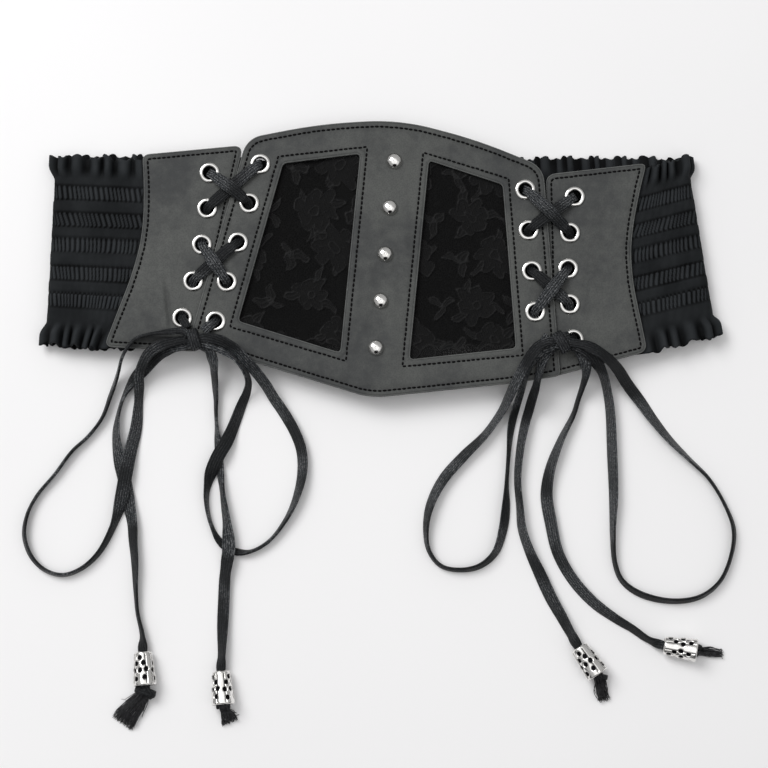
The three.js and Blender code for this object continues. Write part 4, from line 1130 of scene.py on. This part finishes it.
LACING_ORDER = [
    ("side", 4, "below", "below"), ("side", 3, "low", "low"), ("front", 2, "below", "below"),
    ("front", 1, "high", "low"), ("side", 0, "below", "below"), ("front", 0, "low", "high"),
    ("side", 1, "below", "below"), ("side", 2, "high", "high"), ("front", 3, "below", "below"),
    ("front", 4, "knot", "knot"),
]
def make_lacing(side):
    knot = KNOTS[side]
    bases = {"front": PANEL_BASE, "side": SIDE_BASE}
    stops = []
    for column, row, left, right in LACING_ORDER:
        base = bases[column]
        stops.append(
            {
                "centre": eyelet_centre(column, side, row),
                "next": left if side == "left" else right,
                "middle": base + 0.8,
                "above": base + 3.7,
                "below": base - 1.6,
            }
        )
    low = PANEL_BASE + LEATHER_WALL + 1.5
    heights = {"low": low, "high": low + 2.3, "below": SIDE_BASE - 1.5}
    stations = []

    def add(point, heading, width, wall):
        angle = heading + math.pi / 2
        if stations:
            angle += round((stations[-1][1] - angle) / math.pi) * math.pi
        stations.append((np.array(point, float), angle, width, wall))

    def heading_of(way):
        return math.atan2(way[1], way[0])

    def add_side(stop, toward, height, leaving, is_above):
        way = toward - stop["centre"]
        far = np.linalg.norm(way) > 7.1
        distances = [4.8, 2.4] if far else [2.4]
        if leaving:
            distances.reverse()
        for distance in distances:
            place = stop["centre"] + unit(way) * distance
            size = (4.3, 1.9) if distance == 2.4 else (5.8, 1.5)
            lift = -0.5 if distance == 2.4 and is_above else 0
            add((*place, height + lift), heading_of(way), *size)

    first, last = np.array(knot["from_side"]), np.array(knot["from_front"])
    add(first, heading_of(stops[0]["centre"] - first[:2]), 4.6, 1.8)
    for index, stop in enumerate(stops):
        before = stops[index - 1]["centre"] if index else first[:2]
        after = stops[index + 1]["centre"] if index + 1 < len(stops) else last[:2]
        arrives_below = index > 0 and stops[index - 1]["next"] == "below"
        leaves_below = stop["next"] == "below"
        add_side(stop, before, stop["below"] if arrives_below else stop["above"], False, not arrives_below)
        add((*stop["centre"], stop["middle"]), heading_of(stop["centre"] - before), 4.4, 2)
        add_side(stop, after, stop["below"] if leaves_below else stop["above"], True, not leaves_below)
        if stop["next"] != "knot":
            crossing = (stop["centre"] + after) / 2
            add((*crossing, heights[stop["next"]]), heading_of(after - stop["centre"]), 6.5, 1.5)
    add(last, heading_of(last[:2] - stops[-1]["centre"]), 4.6, 1.8)
    points = np.array([station[0] for station in stations])
    line = smooth_route(points, 0.7)
    at_stations = [int(np.argmin(np.linalg.norm(line - point, axis=1))) for point in points]
    steps = np.arange(len(line))
    angles = np.interp(steps, at_stations, [station[1] for station in stations])
    widths = np.interp(steps, at_stations, [station[2] for station in stations])
    walls = np.interp(steps, at_stations, [station[3] for station in stations])
    levels = np.column_stack([np.cos(angles), np.sin(angles), np.zeros(len(line))])
    solid, faces, marks, _ = sweep(line, levels, widths, walls, np.zeros(len(line)), sides=18, seed=41)
    add_piece(f"laced_{side}", solid, faces, LACES, (f"lacing_{side}",), marks)


def ball(centre, half, rows=14, sides=24):
    rings = []
    for row in range(rows + 1):
        angle = (row / rows - 0.5) * math.pi
        around = np.arange(sides) / sides * 2 * math.pi
        bulge = 1 + 0.05 * np.sin(3 * around + row)
        radius = max(math.cos(angle), 0.02) * bulge
        ring = np.column_stack(
            [radius * np.cos(around) * half[0], radius * np.sin(around) * half[1], np.full(sides, math.sin(angle) * half[2])]
        )
        rings.append(ring + centre)
    points = np.vstack(rings)
    marks = np.column_stack([points[:, 1], points[:, 0], np.full(len(points), 5.0)])
    return points, tube_faces(rows + 1, sides), {"weave": marks}


def wrap(centre, half, heading, shift, start, end, width, seed):
    """A lace passing over a knot in the plan direction heading, shifted to its side."""
    angle = np.radians(np.linspace(start, end, 36))
    way = np.array([math.cos(math.radians(heading)), math.sin(math.radians(heading)), 0])
    beside = np.array([-way[1], way[0], 0])
    reach = 1 / math.hypot(way[0] / half[0], way[1] / half[1])
    points = (
        np.array(centre)
        + way * (-np.cos(angle) * reach)[:, None]
        + beside * shift
        + np.array([0, 0, 1]) * (np.sin(angle) * half[2])[:, None]
    )
    levels = np.repeat(beside[None], len(points), axis=0)
    widths = np.full(len(points), float(width))
    solid, faces, marks, _ = sweep(points, levels, widths, np.full(len(points), 1.4), np.zeros(len(points)), seed=seed)
    return solid, faces, marks


# Each wrap: plan heading, shift, start and end angle over the knot, width
WRAPS = {
    "left": [(-72, 0.4, -20, 200, 5.6), (18, 1.6, 5, 175, 4.8), (8, -1.8, 5, 175, 4.6)],
    "right": [(-60, -0.6, -20, 200, 5.6), (12, 2.0, 5, 175, 4.8), (-14, -1.9, 5, 175, 4.8)],
}


def make_knot(side):
    knot = KNOTS[side]
    centre, half = np.array(knot["middle"]), np.array(knot["half"])
    parts = [ball(centre, half - 1.1)]
    for order, (heading, shift, start, end, width) in enumerate(WRAPS[side]):
        size = half - 0.5 - 0.9 * (order > 0) + np.array([0, 0, 0.2])
        parts.append(wrap(centre, size, heading, shift, start, end, width, 60 + order))
    points, faces, marks = joined(parts)
    add_piece(f"knot_{side}", points, faces, LACES, (f"bow_knot_{side}",), marks)


for side_name in SIDES:
    make_lacing(side_name)
    make_knot(side_name)


# Shirred elastic band


FOLDS = {
    "left": {"top": (0.88, 1.008), "bottom": (1, 0.991), "back_end": -14},
    "right": {"top": (0.589, 1.008), "bottom": (1, 0.893), "back_end": 2},
}
RIB_ROWS = (0.195, 0.338, 0.472, 0.62, 0.76)
RIB_PITCH = 2.05
# How far the ribs of each row lean outward for each millimetre down
RIB_LEANS = (0.16, 0.32, 0.1, 0.2, 0.14)
BAND_MIDDLE = 9.7
BAND_WALL = 1.1


def side_edge(up):
    corners = [side_corner(i) for i in range(1, len(SIDE_OUTLINE) - 1)]
    height = max(up, corners[-1][1])
    below = max(1, next(i for i, corner in enumerate(corners) if corner[1] <= height))
    return between(corners[below - 1], corners[below], height, 1)


def make_band(side):
    sign = SIGN[side]
    fold = FOLDS[side]
    rows = np.linspace(0, 1, 92)
    side_end = SIDE_INNER + SIDE_WIDTH
    top = np.array([sign * (side_end + fold["top"][0] * BAND_REACH), fold["top"][1] * BAND_TOP])
    bottom = np.array([sign * (side_end + fold["bottom"][0] * BAND_REACH), fold["bottom"][1] * BAND_BOTTOM])
    radius = 4.1
    ups = (SIDE_TOP - 2) + (6.9 - SIDE_DROP - SIDE_TOP + 2) * rows
    start = np.array([slid(side_edge(up) - 9, up, sign) for up in ups])
    seam = np.array([slid(side_edge(up) + 1, up, sign) for up in ups])
    edge = top + (bottom - top) * rows[:, None]
    inward = unit(seam - edge)
    turn = edge + inward * (radius + BAND_WALL / 2)
    end = np.column_stack([np.full(len(rows), fold["back_end"]), BAND_TOP + (BAND_BOTTOM - BAND_TOP) * rows])
    front_length = float(np.linalg.norm(turn - seam, axis=1).mean())
    back_length = float(np.linalg.norm(turn - end, axis=1).mean())
    middle = BAND_WALL / 2 + 0.35 + radius
    to_edge = np.maximum(ease((0.13 - rows) / 0.08), ease((rows - 0.87) / 0.08))
    flare = -inward * 2 * to_edge[:, None]
    columns, phase, visible = [], [], []
    for share in np.linspace(0, 1, 10, endpoint=False):
        place = start + (seam - start) * share
        columns.append(np.column_stack([place, np.full(len(rows), BAND_MIDDLE)]))
        phase.append((share - 1) * 10)
        visible.append(0)
    steps = int(front_length / 0.42)
    for step in range(steps):
        share = step / steps
        place = seam + (turn - seam) * share + flare * ease(share * 4 - 3)
        height = BAND_MIDDLE + (middle + radius - BAND_MIDDLE) * ease(share * 3 - 2)
        columns.append(np.column_stack([place, np.full(len(rows), height)]))
        phase.append(share * front_length)
        visible.append(1)
    for step in range(30):
        angle = step / 30 * math.pi
        place = turn - inward * math.sin(angle) * radius + flare
        columns.append(np.column_stack([place, np.full(len(rows), middle + math.cos(angle) * radius)]))
        phase.append(front_length + angle * radius)
        visible.append(1 - step / 30 * 2)
    steps = int(back_length / 0.7)
    for step in range(steps + 1):
        share = step / steps
        place = turn + (end - turn) * share + flare * (1 - ease(share * 5))
        place[:, 1] += (1 - 2 * rows) * 1.5 * ease(share * 8) * (1 - ease(share * 3 - 1))
        columns.append(np.column_stack([place, np.full(len(rows), middle - radius)]))
        phase.append(front_length + math.pi * radius + share * back_length)
        visible.append(-1)
    grid = np.array(columns)
    phase, visible = np.array(phase), np.array(visible, float)
    in_rows = np.zeros(len(rows))
    jitter, lean = np.zeros(len(rows)), np.zeros(len(rows))
    for index, row in enumerate(RIB_ROWS):
        inside_row = 1 - ease((np.abs(rows - row) - 0.032) / 0.01)
        in_rows += inside_row
        jitter += inside_row * index * 0.73
        lean += inside_row * RIB_LEANS[index] * (rows - row) * (BAND_TOP - BAND_BOTTOM)
    across_ribs = phase[:, None] + 0.45 * np.sin(phase[:, None] * 0.4 + rows[None, :] * 9) + lean[None, :]
    rib = np.abs(np.cos(math.pi * (across_ribs / RIB_PITCH + jitter[None, :]))) ** 1.6
    strength = 0.8 + 0.2 * np.sin(phase[:, None] * 0.9 + jitter[None, :] * 11)
    body = ease((rows - 0.115) / 0.02) * ease((0.885 - rows) / 0.02)
    puff = (1 - in_rows) * body
    relief = in_rows[None, :] * (0.95 * rib * strength - 0.6) + puff[None, :] * 0.3
    relief += puff[None, :] * 0.1 * np.sin(phase[:, None] * 1.5 + rows[None, :] * 30)
    lip = np.zeros(len(rows))
    for row in RIB_ROWS:
        lip += np.exp(-(((np.abs(rows - row) - 0.037) / 0.006) ** 2))
    relief -= lip[None, :] * 0.3
    out = np.where(rows < 0.5, 0.0, 2.2)
    waves = phase[:, None] * 2 * math.pi / 6.9 + 0.8 * np.sin(phase[:, None] * 0.37 + out[None, :]) + out[None, :]
    waves = waves + 0.5 * np.sin((rows[None, :] - 0.5) * 9)
    pleats = np.sin(waves)
    ruffle = np.sign(pleats) * np.abs(pleats) ** 0.7 * to_edge[None, :]
    free = ease((phase - 1) / 4)[:, None] * np.maximum(np.abs(visible)[:, None] ** 0.5, 0.75)
    normal = np.cross(np.gradient(grid, axis=1), np.gradient(grid, axis=0))
    normal = unit(normal)
    if normal[20, 40, 2] < 0:
        normal = -normal
    ruffle_height = np.where(visible[:, None] < -0.5, -np.abs(ruffle) * 1.3 - 0.1, ruffle * 2.1) * free
    moved = grid + normal * (relief * np.abs(visible[:, None]) ** 0.3 + ruffle_height)[:, :, None]
    scallop = ruffle * np.cos(waves * 0.5) * free
    moved[:, :, 1] += scallop * np.where(rows < 0.5, 1.0, -1.0)[None, :] * 1.3
    normal = unit(np.cross(np.gradient(moved, axis=1), np.gradient(moved, axis=0)))
    if normal[20, 40, 2] < 0:
        normal = -normal
    outer = moved + normal * BAND_WALL / 2
    inner = moved - normal * BAND_WALL / 2
    outer[:, :, 2] = np.maximum(outer[:, :, 2], 0.1)
    inner[:, :, 2] = np.maximum(inner[:, :, 2], 0.15)
    columns_count, rows_count = moved.shape[:2]
    size = columns_count * rows_count
    # Painted light and shade: lighter rib crests, darker lines at the row borders, and ruffles lit and shaded by their
    # folds, over the band's own tone between rows.
    between_rows = (1 - in_rows[None, :]) * (0.42 + 0.33 * ruffle)
    crest_light_and_shade = np.clip(in_rows[None, :] * rib**2.6 + between_rows - 0.4 * lip[None, :], 0, 1)
    index = np.arange(size).reshape(columns_count, rows_count)
    a, b = index[:-1, :-1].ravel(), index[1:, :-1].ravel()
    c, d = index[1:, 1:].ravel(), index[:-1, 1:].ravel()
    faces = list(zip(a, b, c, d)) + list(zip(d + size, c + size, b + size, a + size))
    border = [*index[:, 0], *index[-1, 1:], *index[-2::-1, -1], *index[0, -2:0:-1]]
    for here, after in zip(border, border[1:] + border[:1]):
        faces.append((after, here, here + size, after + size))
    points = np.vstack([outer.reshape(-1, 3), inner.reshape(-1, 3)])
    marks = {"crest_light_and_shade": np.concatenate([crest_light_and_shade.ravel(), crest_light_and_shade.ravel()])}
    piece = add_piece(f"shirred_{side}", points, faces, ELASTIC, (f"elastic_{side}",), marks)


for side_name in SIDES:
    make_band(side_name)


# Floral lace behind the windows


def petal_marks(points, centre, size, petals, turn):
    """Cloth and outline of a flower with rounded petals, as two shares at each point."""
    off = points - np.array(centre)
    distance = np.hypot(off[:, 0], off[:, 1])
    angle = np.arctan2(off[:, 1], off[:, 0]) + turn
    edge = size * (0.62 + 0.38 * np.abs(np.cos(angle * petals / 2)) ** 0.8)
    cloth = 1 - ease((distance - edge) / 0.5)
    rim = 1 - ease((np.abs(distance - edge) - 0.25) / 0.45)
    vein = (1 - ease((np.abs(np.sin(angle * petals / 2)) * distance - 0.25) / 0.4)) * (distance < edge * 0.85)
    eye = 1 - ease((np.abs(distance - size * 0.22) - 0.2) / 0.4)
    return cloth, np.maximum(np.maximum(rim, vein * 0.7 * (distance > size * 0.25)), eye)


def leaf_marks(points, centre, size, turn):
    c, s = math.cos(turn), math.sin(turn)
    off = points - np.array(centre)
    along = off[:, 0] * c + off[:, 1] * s
    across = -off[:, 0] * s + off[:, 1] * c
    share = np.clip(1 - (along / size) ** 2, 0, 1)
    edge = 0.36 * size * share
    cloth = (1 - ease((np.abs(across) - edge) / 0.5)) * (share > 0)
    rim = (1 - ease((np.abs(np.abs(across) - edge) - 0.2) / 0.45)) * (share > 0)
    vein = (1 - ease((np.abs(across) - 0.15) / 0.35)) * (share > 0.1)
    return cloth, np.maximum(rim, vein * 0.6)


def make_lace_panel(side):
    sign = SIGN[side]
    outline = window_outline(sign, 3.4)
    low, high = outline.min(axis=0), outline.max(axis=0)
    step = 0.6
    x, y = np.arange(low[0], high[0] + step, step), np.arange(low[1], high[1] + step, step)
    across, up = np.meshgrid(x, y, indexing="ij")
    plan = np.column_stack([across.ravel(), up.ravel()])
    bottom = outline[outline[:, 1] < low[1] + 0.32 * (high[1] - low[1])]
    to_bottom = np.full(len(plan), 99.0)
    for spot in bottom:
        to_bottom = np.minimum(to_bottom, np.hypot(plan[:, 0] - spot[0], plan[:, 1] - spot[1]))
    glint = (1 - ease((to_bottom - 1.2) / 3)) * ease((np.sin(plan[:, 0] * 0.22 + 1.2 * sign) - 0.2) / 0.5)
    figure, cord = np.zeros(len(plan)), np.zeros(len(plan))
    drawn = plan + 1.3 * np.sin(plan[:, ::-1] * 0.31) + 0.6 * np.sin(plan[:, ::-1] * 0.83 + 1)
    flowers = np.random.default_rng(5 if side == "left" else 8)
    spots = []
    for row in range(5):
        for column in range(3):
            spots.append(
                (
                    low[0] + (column + 0.35 + 0.5 * (row % 2)) * (high[0] - low[0]) / 3,
                    low[1] + (row + 0.5) * (high[1] - low[1]) / 5,
                )
            )
    for index, spot in enumerate(spots):
        spot = np.array(spot) + flowers.uniform(-2.5, 2.5, 2)
        turn = flowers.uniform(0, 6.28)
        if index % 2 == 0:
            marks = petal_marks(drawn, spot, flowers.uniform(8.5, 12), 5 + index % 3, turn)
            figure, cord = np.maximum(figure, marks[0]), np.maximum(cord, marks[1])
        for leaf in range(3):
            way = turn + leaf * 2.1
            middle = spot + (10 if index % 2 == 0 else 3.5) * np.array([math.cos(way), math.sin(way)])
            marks = leaf_marks(drawn, middle, flowers.uniform(4, 6.5), way)
            hidden = 1 - (figure if index % 2 == 0 else 0)
            figure = np.maximum(figure, marks[0])
            cord = np.maximum(cord, marks[1] * hidden)
    wave = low[1] + 8 + 3 * np.abs(np.sin(plan[:, 0] * 0.32))
    scallop = 1 - ease((np.abs(plan[:, 1] - wave) - 0.3) / 0.5)
    cord = np.maximum(cord, scallop * 0.8)
    height = PANEL_BASE - 0.85 + 0.16 * figure + 0.3 * cord
    height += 0.15 * np.sin(plan[:, 0] * 0.13) * np.sin(plan[:, 1] * 0.09)
    keep = inside(plan, outline) | (distance_to(plan, outline) < step * 0.75)
    index = np.arange(len(plan)).reshape(across.shape)
    a, b = index[:-1, :-1].ravel(), index[1:, :-1].ravel()
    c, d = index[1:, 1:].ravel(), index[:-1, 1:].ravel()
    good = keep[a] & keep[b] & keep[c] & keep[d]
    quads = np.column_stack([a, b, c, d])[good]
    used = np.unique(quads)
    number = np.full(len(plan), -1)
    number[used] = np.arange(len(used))
    points = np.column_stack([plan, np.minimum(height, PANEL_BASE - 0.3)])[used]
    marks = {"figure": figure[used], "cord": cord[used], "glint": glint[used]}
    piece = add_piece(f"floral_{side}", points, number[quads].tolist(), FLORAL, (f"lace_panel_{side}",), marks)


for side_name in SIDES:
    make_lace_panel(side_name)


# Hidden closure


def make_closure():
    low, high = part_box("back_tab")
    low, high = np.array(low) / MM, np.array(high) / MM
    corners = [(low[0], low[1], 3), (high[0], low[1], 3), (high[0], high[1], 3), (low[0], high[1], 3)]
    outline = rounded_outline(corners)
    base = low[2] + 0.05
    make_plate("closure_leather", outline, [], [], base, 1.5, ("back_tab",), 1.9, 3.8, grid=5)
    make_stitches("closure_stitches", [(offset_line(closed_resample(outline, 1), 1.9), base + 1.48)])
    parts = []
    profile = [(0.02, 0.1), (4.3, 0.1), (4.4, 0.35), (3.9, 0.62), (1.6, 0.7), (1.3, 0.45), (0.02, 0.4)]
    for index in range(4):
        up = high[1] - 13 - index * (high[1] - low[1] - 26) / 3
        rings = lathe(profile, 40) + np.array([(low[0] + high[0]) / 2, up, base + 1.4])
        parts.append((rings.reshape(-1, 3), closed_faces(len(profile), 40), {}))
    points, faces, _ = joined(parts)
    add_piece("closure_snaps", points, faces, NICKEL)


make_closure()


# Surface and light


def make_floor():
    points = [(-3000, -3000, -0.05), (3000, -3000, -0.05), (3000, 3000, -0.05), (-3000, 3000, -0.05)]
    floor = make_mesh("pale_floor", points, [(0, 1, 2, 3)], floor_material(), flat=True)


STUDIO_STRENGTH = 0.62


def add_light(name, place, size, power, colour=(1, 1, 1)):
    data = bpy.data.lights.new(name, "AREA")
    data.size = size
    data.energy = power
    data.color = colour
    light = bpy.data.objects.new(name, data)
    light.location = place
    light.rotation_euler = (-Vector(place)).to_track_quat("-Z", "Y").to_euler()
    bpy.context.scene.collection.objects.link(light)


make_floor()
add_light("window_light", (-0.9, 0.8, 1.5), 1.0, 23)
add_light("fill_light", (1.2, -0.5, 1.6), 1.4, 2.5)


def make_studio():
    """A white tent with a bright panel overhead, a dark horizon and one dark gap that polished metal shows."""
    world = bpy.data.worlds.new("studio")
    world.use_nodes = True
    tree = world.node_tree
    place = tree.nodes.new("ShaderNodeTexCoord").outputs["Generated"]
    apart = tree.nodes.new("ShaderNodeSeparateXYZ")
    tree.links.new(place, apart.inputs[0])
    tent = tree.nodes.new("ShaderNodeMapRange")
    tent.interpolation_type = "SMOOTHSTEP"
    tree.links.new(apart.outputs[2], tent.inputs[0])
    for socket, number in zip(tent.inputs[1:5], (0.05, 0.6, 0.08, 0.72)):
        socket.default_value = number
    back = tree.nodes.new("ShaderNodeMapRange")
    back.interpolation_type = "SMOOTHSTEP"
    tree.links.new(apart.outputs[1], back.inputs[0])
    for socket, number in zip(back.inputs[1:5], (-0.3, 0.3, 0.04, 0.6)):
        socket.default_value = number
    tree.links.new(back.outputs[0], tent.inputs[3])
    panel = tree.nodes.new("ShaderNodeMapRange")
    panel.interpolation_type = "SMOOTHSTEP"
    tree.links.new(apart.outputs[2], panel.inputs[0])
    for socket, number in zip(panel.inputs[1:5], (0.8, 0.93, 1.0, 2.6)):
        socket.default_value = number
    toward = tree.nodes.new("ShaderNodeVectorMath")
    toward.operation = "DOT_PRODUCT"
    tree.links.new(place, toward.inputs[0])
    toward.inputs[1].default_value = (0.08, -0.8, 0.6)
    gap = tree.nodes.new("ShaderNodeMapRange")
    gap.interpolation_type = "SMOOTHSTEP"
    tree.links.new(toward.outputs["Value"], gap.inputs[0])
    for socket, number in zip(gap.inputs[1:5], (0.9, 0.95, 1.0, 0.02)):
        socket.default_value = number
    both = tree.nodes.new("ShaderNodeMath")
    both.operation = "MULTIPLY"
    tree.links.new(tent.outputs[0], both.inputs[0])
    tree.links.new(gap.outputs[0], both.inputs[1])
    overhead = tree.nodes.new("ShaderNodeMath")
    overhead.operation = "MULTIPLY"
    tree.links.new(both.outputs[0], overhead.inputs[0])
    tree.links.new(panel.outputs[0], overhead.inputs[1])
    tree.links.new(overhead.outputs[0], tree.nodes["Background"].inputs[0])
    tree.nodes["Background"].inputs[1].default_value = STUDIO_STRENGTH
    bpy.context.scene.world = world


make_studio()
bpy.context.scene.view_settings.view_transform = "Standard"
